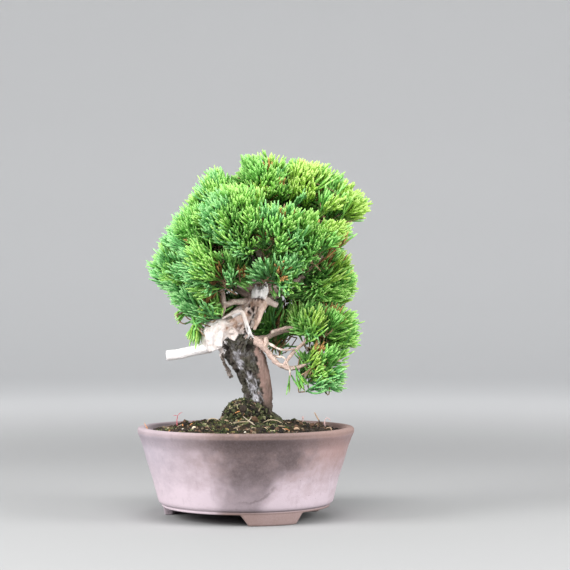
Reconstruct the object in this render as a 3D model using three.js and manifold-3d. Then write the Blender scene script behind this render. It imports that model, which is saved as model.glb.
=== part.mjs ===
// A small Chinese juniper grown as a bonsai, in a round unglazed clay pot on three feet.
// Millimetres, +Z up. The tree is viewed from -Y. The pot stands on the plane z = 0.

import * as THREE from "three";
import { mergeVertices } from "three/addons/utils/BufferGeometryUtils.js";
import Module from "manifold-3d";

const wasm = await Module();
wasm.setup();

// Driving dimensions
const GAP = 0.3; // clear space between neighbouring solids

const POT_HEIGHT = 49.6;
const RIM_RADIUS = 60; // at the widest part of the lip
const BODY_FOOT_RADIUS = 48.5; // where the wall meets the foot ring
const WALL = 4.6;
const POT_FLOOR_Z = 11.5; // upper side of the pot's floor
const DRAIN_RADIUS = 7;
const RING_RADIUS = 46.4;
const RING_Z = 6; // underside of the foot ring between the feet
const BODY_Z = 7.8; // underside of the body, just above the foot ring
const FOOT_BEARINGS = [-71, 42, 155]; // degrees from +X, so the first foot stands right of the front
const FOOT_WIDTH_TOP = 37;
const FOOT_WIDTH_BOTTOM = 29;
const FOOT_DEPTH = 5.5;
const FOOT_TOE = 1.5; // the height up to which the ends of a foot stand nearly upright

const SOIL_EDGE_Z = 46.8;
const SOIL_CENTRE_Z = 53.4;
const SOIL_RINGS = 8; // steps from the edge of the dome to its middle
const CUSHION_HEIGHT = 0.9; // of the moss cushions, above and below the even dome
const CUSHION_SPACING = 13;
const CUSHION_CLEAR = [12, 19]; // from the trunk's foot, where they begin and are full
const GROUND_Z = 53.3; // the trunk's flat cut
const BANK_HALF = [13.6, 12.6, 13.2]; // of the moss bank round the foot of the trunk
const BANK_MIDDLE = [0.8, -3.5, SOIL_CENTRE_Z - 1.2];

const TRUNK_FOOT_X = 4.5;
const TRUNK_RADIUS = 8.2; // halfway up the bare trunk
const FLARE_RADIUS = 11.5; // of the root flare at the ground
const LEADER_TIP_Z = 184;
const LEADER_X = 10; // the line round which the masses stand
const FLUTES = 5; // low ridges round the trunk and the thick dead wood
const FLUTE_TWIST = 4; // radians, over the length of a limb

const BOUGH_ENTRY = 0.8; // of the way out in its mass, where a plain bough ends
const BOUGH_SAG = 0.08; // of its length
const BOUGH_SHARE = 0.75; // of the trunk's radius where it leaves it
const BOUGH_RADIUS = 2.4; // at its thickest
const LEAST_BOUGH = 7; // a shorter one is left to the mass's own stem

const MASS_FLATNESS = 0.9; // of height to width
const CORE_SHARE = 0.5; // of the half-width of its mass
const TUFT_SHARE = 0.82; // the reach of the tufts that stand out of the core
const TUFT_CHANCE = 0.4;
const STEM_RADIUS = 0.9;
const STEM_SIDES = 3;
const LIGHT_LEAN = 0.7; // how far the shoots of a mass lean away from the leader
const TOP_FAVOUR = 0.4; // how much the sprays keep to the top of a mass, to its outer side

const SPRAYS_PER_MASS = 10;
const SPRAY_SHARE = 0.66; // of the half-width of its mass, for the longest spray
const SPRAY_LEAST = 0.3; // of the same, and where there is room for less the core stays bare
const SPRAY_SHORTER = 0.9; // from one try to the next
const SPRAY_TILTS = [0.8, 0.3, -0.5]; // towards the light, tried in this order
const SPRAY_ROLL = 0.9; // radians, at random about its own line
const SPRAY_SPACING = 0.74; // radians between one spray and the next
const SPRAY_DIRECTIONS = 60; // tried on each mass, those that face away from the leader first
const SPRAY_ROOT = 2.5; // sunk in the core
const SPRAY_THICKNESS = 2.2; // at its hub
const SPRAY_HUB = 0.42; // of its length, from its root
const SPRAY_NOTCH = 0.62; // of its length, to the bottom of the gap between two teeth
const SPRAY_RAGGED = 0.16; // of its length, at random off each tooth
const SPRAY_TEETH = 4;
const SPRAY_SPREAD = 1.25; // radians, from the first tooth to the last

const POT_SIDES = 36;
const SOIL_SIDES = 32;
const TRUNK_SIDES = 12;
const LIMB_SIDES = 5;
const TRUNK_STEP = 5; // the length of one straight stretch of the trunk
const LIMB_STEP = 7;
const DEAD_STEP = 4;
const MERGE = 1e-4; // corners of a geometry that lie nearer than this are one
const UP = new THREE.Vector3(0, 0, 1);

const clay = new THREE.MeshStandardMaterial({ color: 0xb9a3a2, roughness: 0.85 });
const moss = new THREE.MeshStandardMaterial({ color: 0x4f4a33, roughness: 1 });
const bark = new THREE.MeshStandardMaterial({ color: 0x77675d, roughness: 0.9 });
const deadwood = new THREE.MeshStandardMaterial({ color: 0xe9e2d6, roughness: 0.75 });
const foliage = new THREE.MeshStandardMaterial({ color: 0x63a23f, roughness: 0.7 });

// A closed three.js geometry as a solid that can be joined and cut
function solid(geometry) {
  const plain = geometry.clone();
  plain.deleteAttribute("normal");
  plain.deleteAttribute("uv");
  const merged = mergeVertices(plain, MERGE);
  return new wasm.Manifold(
    new wasm.Mesh({
      numProp: 3,
      vertProperties: new Float32Array(merged.attributes.position.array),
      triVerts: new Uint32Array(merged.index.array),
    }),
  );
}

function union(solids) {
  return wasm.Manifold.union(solids);
}

// The largest connected body of a solid, without loose scraps
function mainBody(made) {
  const bodies = made.decompose();
  return bodies.reduce((best, body) => (body.volume() > best.volume() ? body : best));
}

function geometryOf(made) {
  const mesh = made.getMesh();
  const geometry = new THREE.BufferGeometry();
  const position = new THREE.BufferAttribute(new Float32Array(mesh.vertProperties), mesh.numProp);
  geometry.setAttribute("position", position);
  geometry.setIndex(new THREE.BufferAttribute(new Uint32Array(mesh.triVerts), 1));
  geometry.computeVertexNormals();
  return geometry;
}

function nodeOf(name, made, material) {
  const mesh = new THREE.Mesh(geometryOf(made), material);
  mesh.name = name;
  return mesh;
}

// Random numbers from 0 to 1, the same on every run
function seeded(seed) {
  let state = seed;
  return () => {
    state = (state * 16807) % 2147483647;
    return state / 2147483647;
  };
}

// A turned solid from a profile of [radius, height] points
function turned(profile, sides) {
  const points = profile.map(([radius, height]) => new THREE.Vector2(radius, height));
  return solid(new THREE.LatheGeometry(points, sides).rotateX(Math.PI / 2));
}

// Pot: a flared bowl with a soft lip, on a ring that is cut away between three feet
function potBody() {
  const outer = [
    [RING_RADIUS - FOOT_DEPTH, RING_Z],
    [RING_RADIUS, RING_Z],
    [RING_RADIUS + 0.2, BODY_Z - 0.3],
    [BODY_FOOT_RADIUS - 1.6, BODY_Z],
    [BODY_FOOT_RADIUS, BODY_Z + 1.8],
    [BODY_FOOT_RADIUS + 3, 22],
    [BODY_FOOT_RADIUS + 6, 31],
    [RIM_RADIUS - 2.9, POT_HEIGHT - 10],
    [RIM_RADIUS - 1.1, POT_HEIGHT - 5.6],
    [RIM_RADIUS, POT_HEIGHT - 2.2],
    [RIM_RADIUS - 0.6, POT_HEIGHT - 0.4],
    [RIM_RADIUS - 2, POT_HEIGHT],
  ];
  const inner = [
    [RIM_RADIUS - WALL + 0.6, POT_HEIGHT - 0.4],
    [RIM_RADIUS - WALL - 0.4, POT_HEIGHT - 1.6],
    ...potInside(0),
    [DRAIN_RADIUS, POT_FLOOR_Z],
    [DRAIN_RADIUS, BODY_Z],
    [RING_RADIUS - FOOT_DEPTH - 1, BODY_Z],
    [RING_RADIUS - FOOT_DEPTH, RING_Z],
  ];
  return turned([...outer, ...inner], POT_SIDES);
}

// The inside of the wall, from the soil's edge down to the floor, moved inwards by clear
function potInside(clear) {
  return [
    [RIM_RADIUS - WALL - 2.6 - clear, POT_HEIGHT - 7.5],
    [BODY_FOOT_RADIUS + 5.3 - WALL - clear, 31],
    [BODY_FOOT_RADIUS + 2 - WALL - clear, 17],
    [BODY_FOOT_RADIUS - WALL - 3 - clear, POT_FLOOR_Z + clear],
  ];
}

// One foot: a sector of the ring between two sloping ends
function foot(bearing) {
  const ring = turned(
    [
      [RING_RADIUS - FOOT_DEPTH, 0],
      [RING_RADIUS - 0.8, 0],
      [RING_RADIUS, RING_Z],
      [RING_RADIUS, RING_Z + 1],
      [RING_RADIUS - FOOT_DEPTH, RING_Z + 1],
      [RING_RADIUS - FOOT_DEPTH, 0],
    ],
    POT_SIDES,
  );
  const half = [
    [FOOT_WIDTH_BOTTOM / 2, -1],
    [FOOT_WIDTH_BOTTOM / 2 + 0.6, FOOT_TOE],
    [FOOT_WIDTH_TOP / 2, RING_Z],
    [FOOT_WIDTH_TOP / 2, RING_Z + 2],
  ];
  const mirrored = half.map(([across, height]) => [-across, height]).reverse();
  const corners = [...half, ...mirrored];
  const outline = new THREE.Shape(corners.map(([across, height]) => new THREE.Vector2(across, height)));
  const sector = new THREE.ExtrudeGeometry(outline, { depth: RING_RADIUS, bevelEnabled: false });
  sector.rotateX(Math.PI / 2).translate(0, -RING_RADIUS / 2, 0);
  sector.rotateZ(Math.PI / 2 + THREE.MathUtils.degToRad(bearing));
  return ring.intersect(solid(sector));
}

function pot() {
  return union([potBody(), ...FOOT_BEARINGS.map((bearing) => foot(bearing))]);
}

// How far the moss cushions lift the soil at a place, none at the trunk's foot
function cushionAt(x, y) {
  const turn = (2 * Math.PI) / CUSHION_SPACING;
  const across = Math.sin(x * turn + Math.sin(y * turn * 0.5));
  const along = Math.cos(y * turn - Math.sin(x * turn * 0.6));
  const fromFoot = Math.hypot(x - TRUNK_FOOT_X, y);
  return ((across + along) / 2) * CUSHION_HEIGHT * THREE.MathUtils.smoothstep(fromFoot, ...CUSHION_CLEAR);
}

// Soil: it fills the pot, domes up to the trunk's foot under cushions of moss, and is banked
// with moss on the foot's left
function soil(trunkClear) {
  const rimInside = RIM_RADIUS - WALL - 0.9 - GAP;
  const dome = [];
  for (let i = 0; i <= SOIL_RINGS; i++) {
    const share = 1 - i / SOIL_RINGS;
    const height = SOIL_EDGE_Z + (SOIL_CENTRE_Z - SOIL_EDGE_Z) * (1 - share * share);
    dome.push([rimInside * share, height]);
  }
  const floor = potInside(GAP).reverse();
  const fill = turned([[0, POT_FLOOR_Z + GAP], ...floor, ...dome], SOIL_SIDES);
  const bank = new THREE.SphereGeometry(1, 14, 8).rotateX(Math.PI / 2);
  bank.scale(...BANK_HALF).translate(...BANK_MIDDLE);
  const even = union([fill, solid(bank)]);
  const cushioned = even.warp((corner) => {
    if (corner[2] > SOIL_EDGE_Z + MERGE) corner[2] += cushionAt(corner[0], corner[1]);
  });
  return mainBody(cushioned.subtract(trunkClear));
}

// Limbs: a limb is a cylinder bent along a curve, with its radius given along its length.
// Each one keeps its centreline, so that foliage and neighbours can stay clear of it.
class Limb {
  constructor(name, points, radii, sides = LIMB_SIDES, step = LIMB_STEP, flutes = 0) {
    this.name = name;
    this.curve = new THREE.CatmullRomCurve3(points.map((p) => new THREE.Vector3(...p)));
    this.radii = radii;
    this.sides = sides;
    this.flutes = flutes;
    this.steps = Math.max(3, Math.round(this.curve.getLength() / step));
  }

  at(t) {
    return this.curve.getPointAt(t);
  }

  radiusAt(t) {
    const place = t * (this.radii.length - 1);
    const i = Math.min(this.radii.length - 2, Math.floor(place));
    return THREE.MathUtils.lerp(this.radii[i], this.radii[i + 1], place - i);
  }

  // The limb's solid, made fatter by grow
  shape(grow = 0) {
    const { curve, sides, steps } = this;
    const frames = curve.computeFrenetFrames(steps, false);
    const geometry = new THREE.CylinderGeometry(1, 1, 1, sides, steps);
    const position = geometry.attributes.position;
    for (let i = 0; i < position.count; i++) {
      const t = position.getY(i) + 0.5;
      const ring = Math.round(t * steps);
      const x = position.getX(i);
      const z = position.getZ(i);
      const flute = 1 + this.flutes * Math.sin(FLUTES * Math.atan2(z, x) + FLUTE_TWIST * t);
      const radius = this.radiusAt(t) * flute + grow;
      const along = frames.tangents[ring].clone().multiplyScalar(t < 0.5 ? -grow : grow);
      const p = curve.getPointAt(t);
      p.addScaledVector(frames.normals[ring], z * radius);
      p.addScaledVector(frames.binormals[ring], x * radius);
      if (ring === 0 || ring === steps) p.add(along);
      position.setXYZ(i, p.x, p.y, p.z);
    }
    return solid(geometry);
  }

  // The distance from a point to this limb's surface
  clearanceOf(point) {
    let least = Infinity;
    const samples = this.steps * 3;
    for (let i = 0; i <= samples; i++) {
      const t = i / samples;
      least = Math.min(least, point.distanceTo(this.at(t)) - this.radiusAt(t) * (1 + this.flutes));
    }
    return least;
  }
}

// Trunk: from the root flare it leans left to the old break, turns back, and runs up as the leader
const trunk = new Limb(
  "trunk",
  [
    [TRUNK_FOOT_X, 0, GROUND_Z - 3],
    [6.6, 0, 63],
    [6, 0, 73],
    [2.6, 0, 83],
    [-3.2, 0, 93],
    [-9.5, 0.5, 101],
    [-4, 1, 109],
    [3.2, 1, 116.5],
    [9.2, 1, 125],
    [13.5, 1.5, 138],
    [12.5, 2, 154],
    [9.5, 1.5, 169],
    [9, 0, LEADER_TIP_Z],
  ],
  [FLARE_RADIUS, TRUNK_RADIUS - 0.2, TRUNK_RADIUS, 9.6, 10.8, 7.2, 4.8, 4.2, 3.4, 2.6, 2, 1.4, 0.7],
  TRUNK_SIDES,
  TRUNK_STEP,
  0.05,
);

// The trunk's solid, cut flat at the ground
function trunkSolid(grow = 0) {
  const depth = 40;
  const below = new THREE.BoxGeometry(60, 60, depth).translate(0, 0, GROUND_Z - depth / 2 - grow);
  return trunk.shape(grow).subtract(solid(below));
}

// Dead wood: the bleached break with its branch stub, the broken top and two thin snags
const brokenKnob = new Limb(
  "bleached_knob",
  [
    [-10.5, -4.5, 106.5],
    [-16.6, -4, 103.6],
    [-18.4, -3.5, 98],
    [-17, -3.5, 91.8],
  ],
  [3.2, 6, 6.6, 4.8],
  10,
  DEAD_STEP,
  0.06,
);
const deadBranch = new Limb(
  "dead_branch",
  [
    [-19.5, -4, 93.8],
    [-29, -4.5, 91.4],
    [-37, -5, 89.6],
    [-43.8, -5.2, 88.8],
  ],
  [3.4, 2.9, 2.9, 2.7],
  8,
  DEAD_STEP * 2,
);
const brokenTop = new Limb(
  "broken_top",
  [
    [6, -4.2, 117],
    [6.8, -6.2, 121],
    [7.7, -7, 124.6],
    [7.4, -7, 127.2],
  ],
  [2, 4, 4.5, 2.2],
  8,
  DEAD_STEP,
  0.08,
);
const hangingSnag = new Limb(
  "hanging_snag",
  [
    [11.5, -5.8, 120],
    [9.6, -7, 116.6],
    [7.4, -8.2, 111.4],
    [6.2, -9, 108],
    [4.6, -9.8, 103.2],
  ],
  [1.6, 2.3, 1.8, 2, 0.6],
  7,
  DEAD_STEP,
);
const thinSnag = new Limb(
  "thin_snag",
  [
    [-13.2, -9, 109.2],
    [-8.8, -9.5, 111.6],
    [-5.2, -9.8, 113.2],
    [-2.2, -10, 113],
    [-0.4, -10.4, 108.6],
    [1.6, -10, 102],
    [2.6, -8.2, 99.6],
  ],
  [0.6, 0.8, 1, 1.1, 1.25, 1.4, 1.4],
  5,
  DEAD_STEP,
);
const barkStrip = new Limb(
  "bark_strip",
  [
    [-13.8, -4.8, 90.5],
    [-12, -4.9, 85],
    [-9.8, -4.8, 80.6],
    [-8.2, -4.6, 77],
  ],
  [1, 1.2, 1.2, 0.8],
  5,
  DEAD_STEP,
);
const deadLimbs = [brokenKnob, deadBranch, brokenTop, hangingSnag, thinSnag, barkStrip];

// Live boughs that show at the front, each through a few points of its bends
const leftBough = new Limb(
  "left_bough",
  [
    [1.5, -0.5, 118.5],
    [-6, -3.5, 118.6],
    [-11.6, -5, 117.4],
    [-12.8, -6, 122],
    [-13.8, -6, 128],
  ],
  [2.3, 1.7, 1.6, 1.4, 1.1],
);
const rightLowBough = new Limb(
  "right_low_bough",
  [
    [0, -4, 98],
    [6.6, -8, 96.6],
    [12, -8.8, 90.8],
    [16, -8.8, 85.6],
    [20.6, -8.5, 82.8],
    [27.4, -7.5, 82],
    [35, -6, 85],
  ],
  [3.4, 2.6, 1.6, 1.4, 1.3, 1.2, 1],
);
const rightForkBough = new Limb(
  "right_fork_bough",
  [
    [20.6, -8.5, 83],
    [24.6, -8, 89],
    [30.6, -6.5, 94.6],
    [36, -5, 99.5],
  ],
  [1.1, 1, 0.9, 0.8],
);
const innerBough = new Limb(
  "inner_bough",
  [
    [-1, 1.5, 98],
    [11, 2.5, 98.6],
    [17.5, 4.5, 101.4],
    [24.5, 8, 102.6],
  ],
  [2.2, 1.5, 1.25, 1],
);
const rightUpperBough = new Limb(
  "right_upper_bough",
  [
    [9.5, 1, 125.6],
    [17, -2, 126],
    [23, -4, 127],
    [33, -5, 133.5],
    [42, -4, 144],
  ],
  [2.6, 2.2, 1.9, 1.5, 1.1],
);

// Foliage masses. Each is named, and placed by its bearing in degrees round the leader
// (0 right, 90 back, 180 left, 270 front), its reach from it, its height and its half-width.
// carrier is the limb that it grows from: a bough that ends at it, or the trunk, which then
// gets a plain bough to it that leaves the leader the given drop below the mass.
const masses = [
  { name: "apex", bearing: 245, reach: 5, height: 181.5, width: 21.5 },
  { name: "apex_right", bearing: 2, reach: 25, height: 176.5, width: 24, drop: 34 },
  { name: "apex_back", bearing: 85, reach: 23, height: 174, width: 24, drop: 34 },
  { name: "left_shoulder", bearing: 180, reach: 25, height: 173, width: 22, drop: 32 },
  { name: "right_shoulder", bearing: 355, reach: 38, height: 167, width: 23, drop: 26 },
  { name: "left_upper", bearing: 186, reach: 36, height: 157, width: 24.5, drop: 28 },
  { name: "left_mid", bearing: 181, reach: 41, height: 138, width: 25, drop: 12 },
  { name: "left_low", bearing: 190, reach: 37, height: 117, width: 20, carrier: leftBough },
  { name: "front_upper_left", bearing: 243, reach: 30, height: 160, width: 24, drop: 22 },
  { name: "front_upper", bearing: 288, reach: 30, height: 157, width: 24, drop: 16 },
  { name: "front_right", bearing: 318, reach: 34, height: 150, width: 24, drop: 20 },
  { name: "front_left", bearing: 222, reach: 33, height: 138, width: 22, drop: 8 },
  { name: "front_mid", bearing: 284, reach: 27, height: 141, width: 21, drop: 10 },
  { name: "right_mid", bearing: 352, reach: 33, height: 135, width: 24, carrier: rightUpperBough },
  { name: "right_low", bearing: 357, reach: 35, height: 108, width: 22, carrier: rightForkBough },
  { name: "right_skirt", bearing: 350, reach: 32, height: 84.5, width: 19, carrier: rightLowBough },
  { name: "inner_low", bearing: 68, reach: 24, height: 106, width: 20, carrier: innerBough },
  { name: "back_upper_left", bearing: 130, reach: 35, height: 158, width: 24.5, drop: 22 },
  { name: "back_upper_right", bearing: 42, reach: 35, height: 156, width: 24.5, drop: 22 },
  { name: "back_left", bearing: 150, reach: 37, height: 135, width: 23.5, drop: 14 },
  { name: "back_mid", bearing: 94, reach: 32, height: 137, width: 24, drop: 14 },
  { name: "back_right", bearing: 38, reach: 36, height: 129, width: 23, drop: 8 },
  { name: "back_low", bearing: 120, reach: 31, height: 112, width: 20, drop: 2 },
];
for (const mass of masses) {
  const turn = THREE.MathUtils.degToRad(mass.bearing);
  const x = LEADER_X + mass.reach * Math.cos(turn);
  mass.centre = new THREE.Vector3(x, mass.reach * Math.sin(turn), mass.height);
  mass.half = new THREE.Vector3(mass.width, mass.width, mass.width * MASS_FLATNESS);
}

const limbs = [trunk, ...deadLimbs, leftBough, rightLowBough, rightForkBough, innerBough, rightUpperBough];

// Whether a point lies in a mass's own space, with room to spare: inside its ellipsoid and
// on its own side of each neighbour's border
function inEnvelope(mass, point, room) {
  const offset = point.clone().sub(mass.centre);
  const { x, y, z } = mass.half;
  if (Math.hypot(offset.x / (x - room), offset.y / (y - room), offset.z / (z - room)) > 1) return false;
  for (const other of masses) {
    if (other === mass) continue;
    const across = other.centre.clone().sub(mass.centre);
    const distance = across.length();
    const border = (distance * mass.width) / (mass.width + other.width);
    if (offset.dot(across) / distance > border - GAP / 2 - room) return false;
  }
  return true;
}

// The same, and clear of the limbs that come near this mass
function hasRoom(mass, point, room) {
  if (!inEnvelope(mass, point, room)) return false;
  return mass.nearLimbs.every((limb) => limb.clearanceOf(point) > room + GAP);
}

// How far a mass reaches from its centre in one direction
function reachOf(mass, direction, room, test = hasRoom) {
  const step = 0.5;
  let reach = step;
  while (test(mass, mass.centre.clone().addScaledVector(direction, reach), room)) reach += step;
  return reach - step;
}

// The point where a limb that comes from the given place enters a mass
function entryOf(mass, from, share) {
  const inwards = from.clone().sub(mass.centre).normalize();
  const reach = reachOf(mass, inwards, 1, inEnvelope);
  return mass.centre.clone().addScaledVector(inwards, reach * share);
}

// A plain bough leaves the leader below its mass, rises in a shallow bow and ends at the mass
function plainBough(mass) {
  const target = mass.height - mass.drop;
  let t = 0.5;
  while (trunk.at(t).z < target && t < 0.97) t += 0.01;
  const start = trunk.at(t);
  const end = entryOf(mass, start, BOUGH_ENTRY);
  const middle = start.clone().lerp(end, 0.5);
  middle.z -= BOUGH_SAG * start.distanceTo(end);
  const radius = Math.min(trunk.radiusAt(t) * BOUGH_SHARE, BOUGH_RADIUS);
  const points = [start, middle, end].map((p) => p.toArray());
  return new Limb(`${mass.name}_bough`, points, [radius, radius * 0.8, radius * 0.55]);
}

for (const mass of masses) {
  if (mass.carrier || !mass.drop) continue;
  const bough = plainBough(mass);
  if (bough.curve.getLength() - trunk.radiusAt(0.6) < LEAST_BOUGH) continue;
  mass.carrier = bough;
  limbs.push(bough);
}

// A toothed blade that stands for one spray: a fan of pointed shoots, along +X from its root,
// thickest at a hub near its middle and sharp at its teeth
function sprayBlade(length, random) {
  const corners = [[0, -1, 0]];
  for (let i = 0; i < SPRAY_TEETH; i++) {
    const angle = SPRAY_SPREAD * (i / (SPRAY_TEETH - 1) - 0.5);
    const reach = length * (1 - SPRAY_RAGGED + SPRAY_RAGGED * random());
    corners.push([reach * Math.cos(angle), reach * Math.sin(angle), 2 * random() - 1]);
    if (i === SPRAY_TEETH - 1) break;
    const between = angle + SPRAY_SPREAD / (SPRAY_TEETH - 1) / 2;
    const notch = SPRAY_NOTCH * length;
    corners.push([notch * Math.cos(between), notch * Math.sin(between), 0]);
  }
  corners.push([0, 1, 0]);
  const hub = SPRAY_HUB * length;
  const thick = SPRAY_THICKNESS / 2;
  const triangles = [];
  corners.forEach((corner, i) => {
    const next = corners[(i + 1) % corners.length];
    triangles.push(corner, next, [hub, 0, thick], next, corner, [hub, 0, -thick]);
  });
  const position = new THREE.Float32BufferAttribute(triangles.flat(), 3);
  return new THREE.BufferGeometry().setAttribute("position", position);
}

// Even directions round a sphere, by the golden angle
function directions(count, turn) {
  const found = [];
  for (let i = 0; i < count; i++) {
    const z = 1 - (2 * i + 1) / count;
    const angle = i * Math.PI * (3 - Math.sqrt(5)) + turn;
    const flat = Math.sqrt(1 - z * z);
    found.push(new THREE.Vector3(flat * Math.cos(angle), flat * Math.sin(angle), z));
  }
  return found;
}

// How far the ellipsoid of a mass reaches in one direction, without its neighbours
function wholeReachOf(mass, direction) {
  const { x, y, z } = mass.half;
  return 1 / Math.hypot(direction.x / x, direction.y / y, direction.z / z);
}

// The core of a mass follows the ellipsoid at a share of its size, within the mass's own space
function coreReachOf(mass, direction, share = CORE_SHARE) {
  return Math.min(share * wholeReachOf(mass, direction), reachOf(mass, direction, 0.4, inEnvelope));
}

// The core is a ball of foliage out of which pointed tufts stand
function coreOf(mass, random) {
  const geometry = new THREE.OctahedronGeometry(1, 2);
  geometry.deleteAttribute("normal");
  geometry.deleteAttribute("uv");
  const core = mergeVertices(geometry, MERGE);
  const position = core.attributes.position;
  for (let i = 0; i < position.count; i++) {
    const direction = new THREE.Vector3().fromBufferAttribute(position, i).normalize();
    const share = random() < TUFT_CHANCE ? TUFT_SHARE : CORE_SHARE * (0.85 + 0.3 * random());
    const p = mass.centre.clone().addScaledVector(direction, coreReachOf(mass, direction, share));
    position.setXYZ(i, p.x, p.y, p.z);
  }
  return core;
}

// Whether a blade keeps to the space of its mass, at its corners and on the way to them
function fits(mass, blade, root) {
  const position = blade.attributes.position;
  for (let i = 0; i < position.count; i++) {
    const p = new THREE.Vector3().fromBufferAttribute(position, i);
    if (!hasRoom(mass, p, 0.1) || !hasRoom(mass, root.clone().lerp(p, 0.6), 0.6)) return false;
  }
  return true;
}

// The direction that a mass grows in: up, and away from the leader
function lightOf(mass) {
  const away = new THREE.Vector3(mass.centre.x - LEADER_X, mass.centre.y, 0).normalize();
  return away.multiplyScalar(LIGHT_LEAN).add(UP).normalize();
}

// A spray on the core of a mass, or nothing where it has no room. It leans over the core
// towards the light, and shows its flat side outwards.
// Where that leaves the mass's own space it stands up straighter, or is shorter.
function sprayAt(mass, direction, random) {
  const core = coreReachOf(mass, direction);
  const least = SPRAY_LEAST * mass.width;
  if (reachOf(mass, direction, 0.4, inEnvelope) < core + least) return null;
  const root = mass.centre.clone().addScaledVector(direction, core - SPRAY_ROOT);
  const light = lightOf(mass);
  const lean = light.clone().addScaledVector(direction, -light.dot(direction)).normalize();
  const roll = SPRAY_ROLL * (random() - 0.5);
  for (let length = SPRAY_SHARE * mass.width; length > least; length *= SPRAY_SHORTER) {
    for (const tilt of SPRAY_TILTS) {
      const heading = direction.clone().addScaledVector(lean, tilt).normalize();
      const across = direction.clone().cross(lean).normalize();
      const facing = new THREE.Matrix4().makeBasis(heading, across, heading.clone().cross(across));
      const blade = sprayBlade(length, random);
      blade.rotateX(roll).applyMatrix4(facing).translate(root.x, root.y, root.z);
      if (fits(mass, blade, root)) return blade;
    }
  }
  return null;
}

// The stem of a mass runs in from its bough's tip, or from beside the trunk, to its centre
function stemOf(mass) {
  const start = mass.carrier ? mass.carrier.at(1) : trunk.at(mass.name === "apex" ? 1 : 0.6);
  const carrierRadius = mass.carrier ? 0 : trunk.radiusAt(1);
  const inwards = mass.centre.clone().sub(start).normalize();
  const from = start.clone().addScaledVector(inwards, GAP + carrierRadius + 0.05);
  const points = [from, from.clone().lerp(mass.centre, 0.5), mass.centre].map((p) => p.toArray());
  const stem = new Limb("stem", points, [STEM_RADIUS, STEM_RADIUS], STEM_SIDES);
  stem.steps = 2;
  return stem.shape();
}

// One mass of foliage: a core on its stem with sprays spaced over it, cut clear of the limbs
function massSolid(mass, seed, fatLimbs) {
  const random = seeded(seed);
  const pieces = [solid(coreOf(mass, random)), stemOf(mass)];
  const taken = [];
  const away = new THREE.Vector3(mass.centre.x - LEADER_X, mass.centre.y, TOP_FAVOUR * mass.width);
  const tried = directions(SPRAY_DIRECTIONS, random() * Math.PI);
  tried.sort((a, b) => b.dot(away) - a.dot(away));
  for (const direction of tried) {
    if (taken.length === SPRAYS_PER_MASS) break;
    if (taken.some((other) => other.angleTo(direction) < SPRAY_SPACING)) continue;
    const spray = sprayAt(mass, direction, random);
    if (!spray) continue;
    taken.push(direction);
    pieces.push(solid(spray));
  }
  return mainBody(union(pieces).subtract(union(fatLimbs)));
}

// Assembly: every limb is cut clear of the limb that it grows from, and then joins the group
const tree = new THREE.Group();
const fatTrunk = trunkSolid(GAP);
const shapes = new Map([["trunk", trunkSolid()]]);
const fats = new Map([["trunk", fatTrunk]]);
for (const limb of limbs) {
  if (limb === trunk) continue;
  let made = limb.shape();
  for (const fat of fats.values()) made = made.subtract(fat);
  shapes.set(limb.name, mainBody(made));
  fats.set(limb.name, limb.shape(GAP));
}

tree.add(nodeOf("pot", pot(), clay));
tree.add(nodeOf("soil", soil(fatTrunk), moss));
const deadNames = new Set(deadLimbs.map((limb) => limb.name));
for (const [name, made] of shapes) tree.add(nodeOf(name, made, deadNames.has(name) ? deadwood : bark));

masses.forEach((mass, i) => {
  const near = (limb) => limb.clearanceOf(mass.centre) < mass.width + 2;
  mass.nearLimbs = limbs.filter(near);
  const fatLimbs = mass.nearLimbs.map((limb) => fats.get(limb.name));
  tree.add(nodeOf(`foliage_${mass.name}`, massSolid(mass, 11 + 17 * i, fatLimbs), foliage));
});

// The origin is on the ground under the middle of the whole, which the crown sets
const extent = new THREE.Box3().setFromObject(tree);
const middle = extent.getCenter(new THREE.Vector3());
tree.position.set(-middle.x, -middle.y, 0);
tree.updateMatrixWorld(true);

export default tree;
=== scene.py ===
from collections import namedtuple
from math import cos, pi, radians, sin, sqrt

import bmesh
import bpy
import numpy as np
from bpy.props import FloatProperty, FloatVectorProperty, IntProperty, PointerProperty
from bpy.types import Operator, Panel, PropertyGroup
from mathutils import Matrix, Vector, noise
from mathutils.kdtree import KDTree


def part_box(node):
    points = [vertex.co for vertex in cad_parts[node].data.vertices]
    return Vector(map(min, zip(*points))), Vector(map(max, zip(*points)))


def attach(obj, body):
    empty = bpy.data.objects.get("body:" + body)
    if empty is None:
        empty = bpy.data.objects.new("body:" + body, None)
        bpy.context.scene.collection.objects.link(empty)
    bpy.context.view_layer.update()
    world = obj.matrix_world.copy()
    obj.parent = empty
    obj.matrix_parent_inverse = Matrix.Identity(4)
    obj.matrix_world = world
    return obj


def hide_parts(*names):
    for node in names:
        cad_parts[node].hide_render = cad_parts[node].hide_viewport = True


bl_info = {
    "name": "Juniper bonsai in a clay pot",
    "version": (1, 0, 0),
    "blender": (4, 5, 0),
    "location": "View3D > Sidebar > Juniper",
    "description": "Dresses a small juniper and its pot: bark, bleached wood, shoots, moss and clay",
    "category": "Object",
}

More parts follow.
